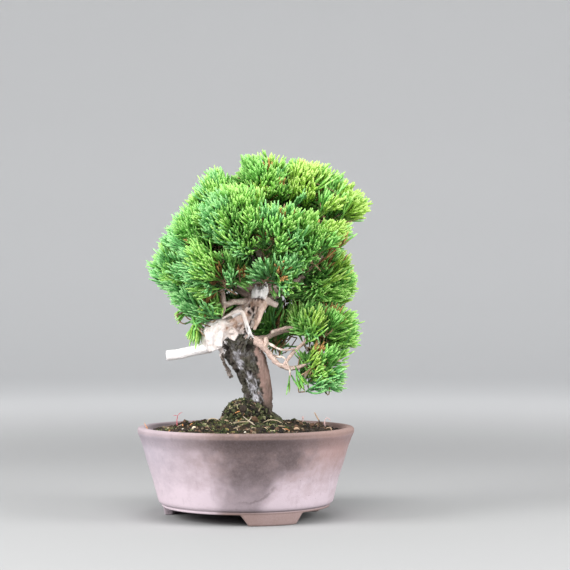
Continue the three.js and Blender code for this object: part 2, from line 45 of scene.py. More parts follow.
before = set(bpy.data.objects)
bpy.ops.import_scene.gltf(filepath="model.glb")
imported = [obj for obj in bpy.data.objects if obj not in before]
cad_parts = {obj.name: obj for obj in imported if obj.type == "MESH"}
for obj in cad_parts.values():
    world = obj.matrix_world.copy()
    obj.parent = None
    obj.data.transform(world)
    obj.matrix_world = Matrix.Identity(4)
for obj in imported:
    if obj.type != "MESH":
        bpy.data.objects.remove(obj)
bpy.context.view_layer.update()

# Shapes are worked out in millimetres round the pot's axis, and become metres in the frame
# when their mesh is made.
MM = 0.001
POT_LOW, POT_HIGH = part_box("pot")
POT_AXIS = np.array([(POT_LOW.x + POT_HIGH.x) / 2, (POT_LOW.y + POT_HIGH.y) / 2, 0.0])
RIM_RADIUS = (POT_HIGH.y - POT_LOW.y) / 2 / MM
POT_HEIGHT = POT_HIGH.z / MM
SOIL_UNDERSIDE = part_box("soil")[0].z / MM
GROUND_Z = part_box("trunk")[0].z / MM
GAP = 0.3  # that the solids keep between them
GRAIN_SEED, MOSS_SEED, LITTER_SEED, MASS_SEED, MASS_SEED_STEP = 31, 47, 63, 101, 13
BODY = "root"
UP = np.array([0.0, 0.0, 1.0])

# The pot, from its lip and its foot
WALL = 4.6
BODY_FOOT_RADIUS = RIM_RADIUS - 11.5
RING_RADIUS = 46.4
RING_Z = 6.0
BODY_Z = 7.8
POT_FLOOR_Z = 11.5
DRAIN_RADIUS = 7.0
LIP_ROUND = 1.5
LIP_INNER_ROUND = 1.4
POT_STEPS, POT_MESH = 168, 1.6  # faces round it, and the length of those up it
FOOT_DEPTH = 5.5
FOOT_BEARINGS = [-71, 42, 155]
FOOT_WIDTH_TOP = 37.0
FOOT_WIDTH_BOTTOM = 29.0
FOOT_TOE = 1.5
FOOT_STEPS = 18

# The soil
SOIL_RADIUS = RIM_RADIUS - WALL - 0.9 - GAP
SOIL_EDGE_Z = 46.8
SOIL_CENTRE_Z = 53.4
BANK_HALF = (13.6, 12.6, 13.2)
BANK_MIDDLE = (0.8, -3.5, SOIL_CENTRE_Z - 1.2)
CUSHION_HEIGHT = 0.9
CUSHION_SPACING = 13.0
CUSHION_CLEAR = (12.0, 19.0)
SOIL_AXIS_GAP = 0.02  # the spun section stops short of the axis by this
SOIL_STEPS, SOIL_MESH = 120, 0.9
GRAIN_DEPTH = 0.5  # from the solid's surface down to the earth between the grains
EDGE_CLEAR = 0.8  # of loose things, from the soil's edge and from the trunk's middle
TRUNK_CLEAR = 9.0

# The limbs: points of their bends and the radius at each of a few even steps
TRUNK = (
    [(4.5, 0, 50.3), (6.6, 0, 63), (6, 0, 73), (2.6, 0, 83), (-3.2, 0, 93), (-9.5, 0.5, 101),
    (-4, 1, 109), (3.2, 1, 116.5), (9.2, 1, 125), (13.5, 1.5, 138), (12.5, 2, 154), (9.5, 1.5, 169),
    (9, 0, 184)], [11.5, 8, 8.2, 9.6, 10.8, 7.2, 4.8, 4.2, 3.4, 2.6, 2, 1.4, 0.7],
)
DEAD_LIMBS = {
    "bleached_knob": ([(-10.5, -4.5, 106.5), (-16.6, -4, 103.6), (-18.4, -3.5, 98), (-17, -3.5, 91.8)],
        [3.2, 6, 6.6, 4.8]),
    "dead_branch": ([(-19.5, -4, 93.8), (-29, -4.5, 91.4), (-37, -5, 89.6), (-43.8, -5.2, 88.8)],
        [3.4, 2.9, 2.9, 2.7]),
    "broken_top": ([(6, -4.2, 117), (6.8, -6.2, 121), (7.7, -7, 124.6), (7.4, -7, 127.2)],
        [2, 4, 4.5, 2.2]),
    "hanging_snag": ([(11.5, -5.8, 120), (9.6, -7, 116.6), (7.4, -8.2, 111.4), (6.2, -9, 108),
        (4.6, -9.8, 103.2)], [1.6, 2.3, 1.8, 2, 0.6]),
    "thin_snag": ([(-13.2, -9, 109.2), (-8.8, -9.5, 111.6), (-5.2, -9.8, 113.2), (-2.2, -10, 113),
        (-0.4, -10.4, 108.6), (1.6, -10, 102), (2.6, -8.2, 99.6)], [0.6, 0.8, 1, 1.1, 1.25, 1.4, 1.4]),
    "bark_strip": ([(-13.8, -4.8, 90.5), (-12, -4.9, 85), (-9.8, -4.8, 80.6), (-8.2, -4.6, 77)],
        [1, 1.2, 1.2, 0.8]),
}
BOUGHS = {
    "left_bough": ([(1.5, -0.5, 118.5), (-6, -3.5, 118.6), (-11.6, -5, 117.4), (-12.8, -6, 122),
        (-13.8, -6, 128)], [2.3, 1.7, 1.6, 1.4, 1.1]),
    "right_low_bough": ([(0, -4, 98), (6.6, -8, 96.6), (12, -8.8, 90.8), (16, -8.8, 85.6),
        (20.6, -8.5, 82.8), (27.4, -7.5, 82), (35, -6, 85)], [3.4, 2.6, 1.6, 1.4, 1.3, 1.2, 1]),
    "right_fork_bough": ([(20.6, -8.5, 83), (24.6, -8, 89), (30.6, -6.5, 94.6), (36, -5, 99.5)],
        [1.1, 1, 0.9, 0.8]),
    "inner_bough": ([(-1, 1.5, 98), (11, 2.5, 98.6), (17.5, 4.5, 101.4), (24.5, 8, 102.6)],
        [2.2, 1.5, 1.25, 1]),
    "right_upper_bough": ([(9.5, 1, 125.6), (17, -2, 126), (23, -4, 127), (33, -5, 133.5), (42, -4, 144)],
        [2.6, 2.2, 1.9, 1.5, 1.1]),
}

# The masses of foliage: bearing in degrees round the leader (0 right, 90 back), reach from it,
# height, half-width, and the bough that carries it or the drop at which a plain one leaves
LEADER_X = 10.0
MASS_FLATNESS = 0.9
MASSES = {
    "top": {
        "apex": (245, 5, 181.5, 21.5, None),
        "apex_right": (2, 25, 176.5, 24, 34),
        "apex_back": (85, 23, 174, 24, 34),
    },
    "shoulders": {
        "left_shoulder": (180, 25, 173, 22, 32),
        "right_shoulder": (355, 38, 167, 23, 26),
        "left_upper": (186, 36, 157, 24.5, 28),
    },
    "left": {
        "left_mid": (181, 41, 138, 25, 12),
        "left_low": (190, 37, 117, 20, "left_bough"),
        "front_left": (222, 33, 138, 22, 8),
    },
    "front": {
        "front_upper_left": (243, 30, 160, 24, 22),
        "front_upper": (288, 30, 157, 24, 16),
        "front_mid": (284, 27, 141, 21, 10),
    },
    "right": {
        "front_right": (318, 34, 150, 24, 20),
        "right_mid": (352, 33, 135, 24, "right_upper_bough"),
    },
    "skirt": {
        "right_low": (357, 35, 108, 22, "right_fork_bough"),
        "right_skirt": (350, 32, 84.5, 19, "right_low_bough"),
        "inner_low": (68, 24, 106, 20, "inner_bough"),
    },
    "back_upper": {
        "back_upper_left": (130, 35, 158, 24.5, 22),
        "back_upper_right": (42, 35, 156, 24.5, 22),
        "back_mid": (94, 32, 137, 24, 14),
    },
    "back_lower": {
        "back_left": (150, 37, 135, 23.5, 14),
        "back_right": (38, 36, 129, 23, 8),
        "back_low": (120, 31, 112, 20, 2),
    },
}
# The outline that the crown is trimmed to, seen from the front, as height, left and right
OUTLINE = np.array([
    (72, 38, 55), (77, 36, 62), (84, 25, 61), (91, 13, 57), (93, 12, 65), (97, -27, 62),
    (110, -30, 62), (117, -40, 56), (126, -46, 61), (133, -53, 60), (140, -53, 59), (150, -48, 54),
    (160, -44, 62), (170, -35, 70), (176, -32, 68), (186, -24, 61), (192, -21, 51), (195, -18, 45),
    (199, -4, 26), (202, 0, 14),
])
OUTLINE_ROUGH = 2.4  # how far the outline strays in and out
VIEW_DISTANCE = 874.0  # from the camera to the pot's axis
VIEW_HEIGHT = 110.0

# Air inside the crown, as middle and half-size: the gaps that show between its pads
CLEARINGS = [
    ((18, -30, 173), (10, 24, 3.8)),  # a broken line of gaps under the right of the top
    ((33, -28, 169.5), (8, 24, 3.8)),
    ((45.5, -24, 165), (7, 26, 3.0)),
    ((51, -5, 164.5), (4.5, 40, 3.0)),
    ((9, -30, 143), (5.5, 20, 3.2)),  # two small ones in the front
    ((-16, -24, 147.5), (4.5, 20, 2.6)),
    ((61, -4, 149.5), (12, 26, 4)),
    ((60, -4, 116.5), (9, 22, 3)),
    ((-8.5, -10, 196), (6, 50, 8)),  # the notch at the left of the top
    ((-8, -4, 124.5), (6.5, 44, 4.5)),  # the window over the left bough
    ((27, 5, 97.5), (8, 34, 3.6)),  # under the inner bough
    ((31, -28, 131), (6, 24, 3)),  # three along the right upper bough, which shows in them
    ((37, -28, 137.5), (5, 24, 3.6)),
    ((42, -28, 145), (4, 24, 4.6)),
    ((-14, -26, 127), (4, 22, 7)),
]
CLEARING_SIZE = 4.5  # of the bays along the outline and the edges of the clearings
CLEARING_ROUGH = 0.06
BARE_BELOW = 131.0  # the trunk and the old wood are kept clear below this height
BARE_ASIDE = 1.2  # how far beside a bare limb the view stays free
BARE_BEHIND = 2.0  # how far behind its line shoots may begin again

# Plain boughs: the stretch of the leader that they leave, where they end in a mass, their sag,
# their radius to the leader's and at most, and how that tapers
LEADER_START, LEADER_END, LEADER_STEP = 0.5, 0.97, 0.01
BOUGH_ENTRY = 0.8
BOUGH_SAG = 0.08
BOUGH_SHARE = 0.75
BOUGH_RADIUS = 2.4
BOUGH_TAPER = (1, 0.8, 0.55)
LIGHT_LEAN = 0.7  # how far a mass faces away from the leader rather than up


# Meshes and objects

def to_metres(points):
    return np.asarray(points, float) * MM + POT_AXIS


def placed(name, data):
    """A new object in the scene."""
    thing = bpy.data.objects.new(name, data)
    bpy.context.scene.collection.objects.link(thing)
    return thing


def mesh_from(name, vertices, triangles, paints=0):
    """A mesh of many small things from arrays, in millimetres round the pot's axis, with the
    number of each triangle's paint among the piece's."""
    mesh = bpy.data.meshes.new(name)
    mesh.vertices.add(len(vertices))
    mesh.vertices.foreach_set("co", to_metres(vertices).astype(np.float32).ravel())
    mesh.loops.add(len(triangles) * 3)
    mesh.loops.foreach_set("vertex_index", np.asarray(triangles, np.int32).ravel())
    mesh.polygons.add(len(triangles))
    mesh.polygons.foreach_set("loop_start", np.arange(0, len(triangles) * 3, 3, dtype=np.int32))
    mesh.update(calc_edges=True)
    mesh.validate()
    paints = np.broadcast_to(paints, len(triangles)).astype(np.int32)
    mesh.polygons.foreach_set("material_index", paints)
    return mesh


def mesh_of(work, name):
    """A mesh from a bmesh, which is freed."""
    mesh = bpy.data.meshes.new(name)
    work.to_mesh(mesh)
    work.free()
    return mesh


def mesh_made_by(stand):
    """The finished mesh of an object, which is removed."""
    graph = bpy.context.evaluated_depsgraph_get()
    mesh = bpy.data.meshes.new_from_object(stand.evaluated_get(graph), depsgraph=graph)
    bpy.data.objects.remove(stand)
    mesh.materials.clear()
    return mesh


def mesh_with_modifiers(mesh, name, *settings):
    """The mesh after the given modifiers, each as (kind, values)."""
    stand = placed(name, mesh)
    for kind, values in settings:
        modifier = stand.modifiers.new(kind, kind)
        for key, value in values.items():
            setattr(modifier, key, value)
    made = mesh_made_by(stand)
    made.name = name
    return made


def piece_from(name, mesh, materials, replaced=(), smooth=True):
    """The finished object of a piece, which rides on the one body."""
    for material in materials:
        mesh.materials.append(material)
    mesh.polygons.foreach_set("use_smooth", np.full(len(mesh.polygons), smooth))
    piece = placed(name, mesh)
    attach(piece, BODY)
    if replaced:
        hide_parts(*replaced)


def joined(parts):
    """Several (vertices, triangles, material indices) as one."""
    offsets = np.cumsum([0] + [len(part[0]) for part in parts[:-1]])
    vertices = np.concatenate([part[0] for part in parts])
    triangles = np.concatenate([part[1] + offset for part, offset in zip(parts, offsets)])
    indices = np.concatenate([part[2] for part in parts])
    return vertices, triangles, indices


def coordinates(mesh):
    """The mesh's points in millimetres round the pot's axis."""
    flat = np.zeros(len(mesh.vertices) * 3, np.float32)
    mesh.vertices.foreach_get("co", flat)
    return (flat.reshape(-1, 3).astype(float) - POT_AXIS) / MM


def normals(mesh):
    flat = np.zeros(len(mesh.vertices) * 3, np.float32)
    mesh.vertex_normals.foreach_get("vector", flat)
    return flat.reshape(-1, 3).astype(float)


def set_coordinates(mesh, points):
    mesh.vertices.foreach_set("co", to_metres(points).astype(np.float32).ravel())
    mesh.update()


def set_attribute(mesh, name, values):
    attribute = mesh.attributes.new(name, "FLOAT", "POINT")
    attribute.data.foreach_set("value", np.asarray(values, np.float32))


def noise_at(points, scale, seed=0.0, octaves=3):
    """Smooth noise from about -1 to 1 at each point, of the given feature size."""
    shift = Vector((seed * 7.31, seed * 3.17, seed * 5.73))
    found = [noise.fractal(Vector(p) + shift, 0.8, 2.1, octaves) for p in np.asarray(points) / scale]
    return np.array(found)


def unit(vectors):
    vectors = np.asarray(vectors, float)
    return vectors / np.maximum(np.linalg.norm(vectors, axis=-1, keepdims=True), 1e-9)


# Materials

class Paint:
    """A node material while it is made: each call adds a node and gives what comes out of it."""

    def __init__(self, name, roughness=0.8, specular=0.3, colour=None):
        self.material = bpy.data.materials.new(name)
        self.material.use_nodes = True
        self.nodes = self.material.node_tree.nodes
        self.links = self.material.node_tree.links
        self.shader = self.nodes["Principled BSDF"]
        self.shader.inputs["Roughness"].default_value = roughness
        self.shader.inputs["Specular IOR Level"].default_value = specular
        if colour is not None:
            self.colour(colour)
            self.material.diffuse_color = (*colour, 1)

    def put(self, socket, value):
        if isinstance(value, bpy.types.NodeSocket):
            self.links.new(value, socket)
        elif socket.type == "RGBA":
            socket.default_value = (*value, 1)
        else:
            socket.default_value = value

    def node(self, kind, output, inputs, **settings):
        """A node with its settings and what goes into it."""
        node = self.nodes.new("ShaderNode" + kind)
        for key, value in settings.items():
            setattr(node, key, value)
        for key, value in inputs.items():
            self.put(node.inputs[key], value)
        return node.outputs[output]

    def place(self, scale=(1, 1, 1)):
        """Object coordinates, stretched by the given scale."""
        inputs = {"Vector": self.node("TexCoord", "Object", {}), "Scale": scale}
        return self.node("Mapping", "Vector", inputs)

    def noise(self, size, detail=4, rough=0.6, stretch=(1, 1, 1)):
        inputs = {"Vector": self.place(stretch), "Scale": 1 / size, "Detail": detail, "Roughness": rough}
        return self.node("TexNoise", "Fac", inputs)

    def cells(self, size):
        return self.node("TexVoronoi", "Distance", {"Vector": self.place(), "Scale": 1 / size})

    def attribute(self, name):
        return self.node("Attribute", "Fac", {}, attribute_name=name)

    def along(self, axis):
        """How far along an axis a point lies, in metres."""
        return self.node("SeparateXYZ", axis, {"Vector": self.place()})

    def span(self, value, low, high, to_low=0.0, to_high=1.0):
        """The value moved from one range to another, and kept inside it."""
        inputs = {"Value": value, "From Min": low, "From Max": high, "To Min": to_low, "To Max": to_high}
        return self.node("MapRange", "Result", inputs, interpolation_type="SMOOTHSTEP")

    def sum(self, operation, first, second=0.0):
        return self.node("Math", "Value", {0: first, 1: second}, operation=operation)

    def times(self, first, *others):
        for other in others:
            first = self.sum("MULTIPLY", first, other)
        return first

    def apart(self, first, second):
        return self.sum("ABSOLUTE", self.sum("SUBTRACT", first, second))

    def distance(self, *parts):
        """How far off a place is that lies this far along each axis."""
        total = 0.0
        for part in parts:
            total = self.sum("ADD", self.times(part, part), total)
        return self.sum("POWER", total, 0.5)

    def mix(self, share, first, second):
        return self.node("Mix", 2, {"Factor": share, 6: first, 7: second}, data_type="RGBA")

    def layers(self, base, *coats):
        """A colour with others over it, each as its share and itself."""
        for share, colour in coats:
            base = self.mix(share, base, colour)
        return base

    def colour(self, value):
        self.put(self.shader.inputs["Base Color"], value)

    def bump(self, height, depth, strength=1.0):
        """Relief of the given depth in metres, over any that is there."""
        normal = self.shader.inputs["Normal"]
        inputs = {"Strength": strength, "Distance": depth, "Height": height}
        if normal.is_linked:
            inputs["Normal"] = normal.links[0].from_socket
        self.links.new(self.node("Bump", "Normal", inputs), normal)


# Limbs and masses, by the rule of the solids

class Limb:
    """A bent cylinder: a centripetal curve through its points, with its radius along its length."""

    SAMPLES = 240
    BEND_STEPS = 40  # between two of its points

    def __init__(self, name, points, radii):
        self.name = name
        self.points = np.array(points, float)
        self.radii = np.array(radii, float)
        path = self.curve()
        lengths = np.concatenate([[0], np.cumsum(np.linalg.norm(np.diff(path, axis=0), axis=1))])
        self.length = lengths[-1]
        even = np.linspace(0, self.length, self.SAMPLES + 1)
        self.line = np.stack([np.interp(even, lengths, path[:, axis]) for axis in range(3)], axis=1)

    def curve(self):
        """Points along the curve, close together."""
        p = self.points
        p = np.concatenate([[2 * p[0] - p[1]], p, [2 * p[-1] - p[-2]]])
        found = []
        for i in range(1, len(p) - 2):
            steps = [sqrt(max(np.linalg.norm(p[i + k] - p[i + k - 1]), 1e-6)) for k in range(3)]
            first = (p[i] - p[i - 1]) / steps[0] - (p[i + 1] - p[i - 1]) / (steps[0] + steps[1])
            first = (first + (p[i + 1] - p[i]) / steps[1]) * steps[1]
            last = (p[i + 1] - p[i]) / steps[1] - (p[i + 2] - p[i]) / (steps[1] + steps[2])
            last = (last + (p[i + 2] - p[i + 1]) / steps[2]) * steps[1]
            t = np.linspace(0, 1, self.BEND_STEPS, endpoint=i == len(p) - 3)[:, None]
            cubic = 2 * p[i] - 2 * p[i + 1] + first + last
            square = -3 * p[i] + 3 * p[i + 1] - 2 * first - last
            found.append(((cubic * t + square) * t + first) * t + p[i])
        return np.concatenate(found)

    def at(self, t):
        return self.line[int(round(min(max(t, 0), 1) * self.SAMPLES))]

    def radius_at(self, t):
        return np.interp(t, np.linspace(0, 1, len(self.radii)), self.radii)

    def samples(self, spacing):
        """Places, radii and shares of the length at even steps along the limb."""
        count = max(2, int(round(self.length / spacing)))
        t = np.linspace(0, 1, count + 1)
        index = np.round(t * self.SAMPLES).astype(int)
        return self.line[index], self.radius_at(t), t


class Mass:
    """A mass of foliage: an ellipsoid that meets its neighbours at borders between them."""

    def __init__(self, name, bearing, reach, height, width, carried):
        turn = radians(bearing)
        self.name = name
        self.centre = np.array([LEADER_X + reach * cos(turn), reach * sin(turn), height])
        self.width = width
        self.half = np.array([width, width, width * MASS_FLATNESS])
        self.carried = carried
        self.carrier = None
        away = unit([self.centre[0] - LEADER_X, self.centre[1], 0])
        self.light = unit(away * LIGHT_LEAN + UP)

    def meet(self, masses):
        """The borders with the other masses, as directions and distances."""
        others = [other for other in masses if other is not self]
        across = np.array([other.centre - self.centre for other in others])
        distance = np.linalg.norm(across, axis=1)
        widths = np.array([other.width for other in others])
        self.across = across / distance[:, None]
        self.borders = distance * self.width / (self.width + widths) - GAP / 2

    def keep_clear_of(self, limbs):
        """The places on limbs that run through this mass, and the radius there."""
        places, clear = [], []
        for limb in limbs:
            line, radii, _ = limb.samples(1.0)
            near = np.linalg.norm(line - self.centre, axis=1) < self.width + 4
            places.append(line[near])
            clear.append(radii[near])
        self.limb_places = np.concatenate(places)
        self.limb_radii = np.concatenate(clear)

    def whole_reach(self, directions):
        return 1 / np.linalg.norm(directions / self.half, axis=-1)

    def trimmed_reach(self, directions):
        """The reach inside the crown's outline and up to the gaps in it."""
        reach = self.reach(directions)
        parts = np.linspace(0.1, 1, 37)
        places = self.centre + directions[:, None] * (reach[:, None] * parts)[:, :, None]
        free = open_to_growth(places.reshape(-1, 3)).reshape(len(directions), -1)
        first = np.where(free.all(axis=1), len(parts), np.argmin(free, axis=1))
        return reach * np.append(parts, 1.0)[first]

    def border_reach(self, directions):
        facing = directions @ self.across.T
        return np.min(np.where(facing > 1e-6, self.borders / np.maximum(facing, 1e-6), np.inf), axis=-1)

    def reach(self, directions):
        return np.minimum(self.whole_reach(directions), self.border_reach(directions))

    def holds(self, points, beyond=0.0, over=0.0):
        """Whether points lie in this mass's own space, or at most that far beyond its outside
        or over its borders, and clear of every limb."""
        offset = points - self.centre
        inside = np.linalg.norm(offset / (self.half + beyond), axis=1) <= 1
        inside &= np.all(offset @ self.across.T <= self.borders + over, axis=1)
        if len(self.limb_places):
            apart = np.linalg.norm(points[:, None] - self.limb_places[None], axis=2) - self.limb_radii
            inside &= apart.min(axis=1) > GAP
        return inside


def open_to_growth(points, slack=0.0):
    """Whether shoots may stand at the points: inside the outline or at most the slack beyond it,
    out of the gaps, and not in front of the bare wood."""
    nearer = VIEW_DISTANCE / (VIEW_DISTANCE + points[:, 1])
    across, height = points[:, 0] * nearer, VIEW_HEIGHT + (points[:, 2] - VIEW_HEIGHT) * nearer
    rough = noise_at(points, CLEARING_SIZE, 33, 2) * OUTLINE_ROUGH
    free = across > np.interp(height, OUTLINE[:, 0], OUTLINE[:, 1]) + rough - slack
    free &= across < np.interp(height, OUTLINE[:, 0], OUTLINE[:, 2]) + rough + slack
    for middle, half in CLEARINGS:
        apart = np.linalg.norm((points - middle) / np.array(half), axis=1)
        free &= apart > 1 + rough * CLEARING_ROUGH
    for x, y, z, radius in BARE_WOOD:
        apart = np.hypot(points[:, 0] - x, points[:, 2] - z)
        free &= (apart > radius + BARE_ASIDE) | (points[:, 1] > y + BARE_BEHIND)
    return free


def plain_bough(mass, trunk):
    """A bough that leaves the leader below its mass, sags a little and ends at the mass."""
    target = mass.centre[2] - mass.carried
    t = LEADER_START
    while trunk.at(t)[2] < target and t < LEADER_END:
        t += LEADER_STEP
    start = trunk.at(t)
    inwards = unit(start - mass.centre)
    end = mass.centre + inwards * mass.reach(inwards) * BOUGH_ENTRY
    middle = (start + end) / 2 - UP * BOUGH_SAG * np.linalg.norm(end - start)
    radius = min(trunk.radius_at(t) * BOUGH_SHARE, BOUGH_RADIUS)
    radii = [radius * share for share in BOUGH_TAPER]
    return Limb(f"{mass.name}_bough", [start, middle, end], radii)


def grow_plan():
    """Every limb and every mass of the tree."""
    trunk = Limb("trunk", *TRUNK)
    dead = [Limb(name, *shape) for name, shape in DEAD_LIMBS.items()]
    boughs = {name: Limb(name, *shape) for name, shape in BOUGHS.items()}
    masses = [Mass(name, *row) for group in MASSES.values() for name, row in group.items()]
    for mass in masses:
        mass.meet(masses)
    for mass in masses:
        if isinstance(mass.carried, str):
            mass.carrier = boughs[mass.carried]
        elif mass.carried is not None:
            bough = plain_bough(mass, trunk)
            if bough.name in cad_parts:
                boughs[bough.name] = bough
                mass.carrier = bough
    for mass in masses:
        mass.keep_clear_of([trunk, *dead, *boughs.values()])
    return trunk, dead, boughs, masses


PLAN = grow_plan()


def bare_wood():
    """Places along the wood that shows below the crown, with the radius there."""
    trunk, dead, boughs, _ = PLAN
    found = []
    for limb in [trunk, *dead, boughs["right_low_bough"], boughs["left_bough"]]:
        line, radii, _ = limb.samples(2.0)
        found.append(np.column_stack([line, radii])[line[:, 2] < BARE_BELOW])
    return np.concatenate(found)


BARE_WOOD = bare_wood()


# Sizes and colours that can be changed in the sidebar

def length(name, description, default, **more):
    return FloatProperty(name=name, description=description, default=default, unit="LENGTH", min=0,
                         precision=5, **more)


def hue(name, description, default):
    return FloatVectorProperty(name=name, description=description, default=default, subtype="COLOR",
                               size=3, min=0, max=1)


class PotLooks(PropertyGroup):
    waviness: length("Waviness", "How far the thrown wall strays from true", 0.00022)
    clay: hue("Clay", "The bare clay", (0.27, 0.195, 0.19))
    bloom: hue("Bloom", "Pale lime bloom, thickest low down", (0.47, 0.39, 0.43))
    # Paler than the clay up high: bluish bloom, and painted light where the left lamp falls on the pot
    left_bloom_and_light: hue("Left bloom", "Bluish bloom on the left side", (0.33, 0.295, 0.34))
    ruddy: hue("Ruddy clay", "Redder clay at the upper right", (0.30, 0.19, 0.175))
    # Also the painted shade down the front middle, under the lip and in the seam over the foot
    patina_and_shade: hue("Patina", "Dark stain of handling and water", (0.066, 0.047, 0.046))
    rust: hue("Rust", "Warm tint along the foot and the lip", (0.205, 0.135, 0.115))


class SoilLooks(PropertyGroup):
    granules: IntProperty(name="Granules", description="Loose grains on the soil", default=2200, min=0)
    granule_radius: length("Granule radius", "Of a middling grain", 0.00072)
    tufts: IntProperty(name="Moss lumps", description="Lumps of moss over the soil", default=900, min=0)
    earth: hue("Earth", "Damp soil between the grains", (0.016, 0.012, 0.008))


class WoodLooks(PropertyGroup):
    grain: length("Mesh size", "Spacing of the mesh on the trunk", 0.00042)
    furrow: length("Furrow depth", "Of the furrows in the bark", 0.0008)
    bark: hue("Bark", "Weathered bark", (0.055, 0.043, 0.036))
    silver: hue("Silver", "Pale patches of the bark", (0.175, 0.167, 0.17))
    vein: hue("Live vein", "Smooth young bark along the live side", (0.22, 0.137, 0.115))
    young: hue("Young bark", "Bark of the boughs", (0.70, 0.52, 0.45))
    bleached: hue("Bleached wood", "Bare wood, limed white", (0.84, 0.80, 0.79))
    # Painted shade in the hollows, the cracks and the bark's furrows
    hollow: hue("Hollow", "Inside cracks and rotten hollows", (0.02, 0.015, 0.012))


class ShootLooks(PropertyGroup):
    thickness: length("Shoot thickness", "Of a shoot clad in scale leaves", 0.00106)
    spacing: length("Spray spacing", "From one spray to the next on the outside", 0.0080)
    spray: length("Spray length", "Of a middling spray", 0.0185)
    twig: hue("Twig", "Young brown twigs", (0.31, 0.20, 0.115))


class StageLooks(PropertyGroup):
    # The floor is painted darker near the pot, against the lamps' strongest light, and paler far behind as
    # painted light where they reach less
    floor: hue("Floor", "The floor's colour near the pot", (0.27, 0.27, 0.27))
    painted_light_backdrop: hue("Backdrop", "The colour of the floor's sweep far behind", (0.70, 0.70, 0.70))
    strength: FloatProperty(name="Light", description="Strength of all the lamps", default=1.0, min=0)


# Pot

def arc(middle, height, radius, bearings):
    """Points of a rounded edge in the pot's section."""
    return [(middle + radius * cos(radians(bearing)), height + radius * sin(radians(bearing)))
            for bearing in bearings]


def pot_profile():
    """Points of half the pot's section, from the foot ring up the outside and down the inside."""
    ring, foot, rim, top = RING_RADIUS, BODY_FOOT_RADIUS, RIM_RADIUS, POT_HEIGHT
    return [
        (ring - FOOT_DEPTH, RING_Z), (ring - 0.5, RING_Z), (ring, RING_Z + 0.4),
        (ring + 0.1, BODY_Z - 0.7), (ring, BODY_Z - 0.4), (ring + 0.4, BODY_Z - 0.1),
        (foot - 0.9, BODY_Z + 0.45), (foot - 0.3, BODY_Z + 1.1), (foot + 0.1, BODY_Z + 2),
        (foot + 1.3, 15), (foot + 3, 22), (foot + 6, 31), (rim - 2.9, top - 10), (rim - 1.9, top - 7.4),
        (rim - 1.3, top - 5.6), (rim - 0.5, top - 4), (rim - 0.1, top - 3),
        *arc(rim - LIP_ROUND, top - LIP_ROUND, LIP_ROUND, range(-10, 100, 14)),
        *arc(rim - WALL + LIP_INNER_ROUND, top - LIP_INNER_ROUND, LIP_INNER_ROUND, range(104, 190, 19)),
        (rim - WALL - 0.4, top - 3), (rim - WALL - 2.6, top - 7.5),
        (foot + 5.3 - WALL, 31), (foot + 2 - WALL, 17), (foot - WALL - 3, POT_FLOOR_Z),
        (DRAIN_RADIUS, POT_FLOOR_Z), (DRAIN_RADIUS, BODY_Z), (ring - FOOT_DEPTH - 1, BODY_Z),
    ]


def turned(profile, steps, longest):
    """A closed profile of (radius, height), cut into edges up to the longest, spun round the
    pot's axis, as a bmesh in metres."""
    mesh = bmesh.new()
    axis = Vector(POT_AXIS)
    corners = [mesh.verts.new(axis + Vector((r, 0, z)) * MM) for r, z in profile]
    edges = [mesh.edges.new((a, b)) for a, b in zip(corners, corners[1:] + corners[:1])]
    for edge in list(edges):
        cuts = int(edge.calc_length() / MM / longest)
        if cuts:
            bmesh.ops.subdivide_edges(mesh, edges=[edge], cuts=cuts)
    bmesh.ops.spin(mesh, geom=mesh.verts[:] + mesh.edges[:], cent=axis, axis=(0, 0, 1), angle=2 * pi,
                   steps=steps, use_merge=True, use_duplicate=False)
    bmesh.ops.remove_doubles(mesh, verts=mesh.verts[:], dist=1e-6)
    bmesh.ops.recalc_face_normals(mesh, faces=mesh.faces[:])
    return mesh


def pot_foot(bearing):
    """One foot: a stretch of the ring with sloping, softened ends, as a bmesh in metres."""
    mesh = bmesh.new()
    axis = Vector(POT_AXIS)
    inner, outer, top = RING_RADIUS - FOOT_DEPTH + 0.1, RING_RADIUS - 0.12, RING_Z + 1.1
    section = [(inner, 0.5), (inner + 0.5, 0), (outer - 1.5, 0), (outer - 0.95, 0.18), (outer - 0.7, 0.7),
               (outer - 0.5, FOOT_TOE), (outer, RING_Z), (outer, top), (inner, top)]
    middle = Vector((RING_RADIUS - FOOT_DEPTH / 2, RING_Z / 2 + 0.5))
    corners = [mesh.verts.new(axis + Vector((r, 0, z)) * MM) for r, z in section]
    mesh.faces.new(corners)
    angle = FOOT_WIDTH_TOP / RING_RADIUS
    bmesh.ops.spin(mesh, geom=mesh.faces[:], cent=axis, axis=(0, 0, 1), angle=angle, steps=FOOT_STEPS)
    for vertex in mesh.verts:
        offset = (vertex.co - axis) / MM
        turn = 2 * np.arctan2(offset.y, offset.x) / angle - 1
        ring = (1 - abs(turn)) * FOOT_STEPS / 2
        end = np.interp(ring, [0, 1, 2, 3, FOOT_STEPS / 2], [1, 0.985, 0.95, 0.89, 0])
        shrink = np.interp(ring, [0, 1, 2, 3], [0.7, 0.25, 0.06, 0])
        place = Vector((sqrt(offset.x ** 2 + offset.y ** 2), offset.z))
        if place.y < top - 0.01:
            place += (middle - place).normalized() * shrink
        widths = [FOOT_WIDTH_BOTTOM - 1, FOOT_WIDTH_BOTTOM + 0.6, FOOT_WIDTH_TOP - 1, FOOT_WIDTH_TOP + 3]
        width = np.interp(place.y, [0, FOOT_TOE, RING_Z, top], widths)
        turn = np.sign(turn) * end * width / 2 / RING_RADIUS + radians(bearing)
        vertex.co = axis + Vector((place.x * cos(turn), place.x * sin(turn), place.y)) * MM
    bmesh.ops.recalc_face_normals(mesh, faces=mesh.faces[:])
    return mesh


# Marks on the front of the pot: a drip's dried edge, as the middle and half-size of its oval, and a
# worn spot on the lip
DRIP_MIDDLE = (-1.6, 25.0)
DRIP_HALF = (17.6, 12.2)
CHIP_PLACE = (-4.8, -59.0, 48.6)
CHIP_SIZE = 0.0022
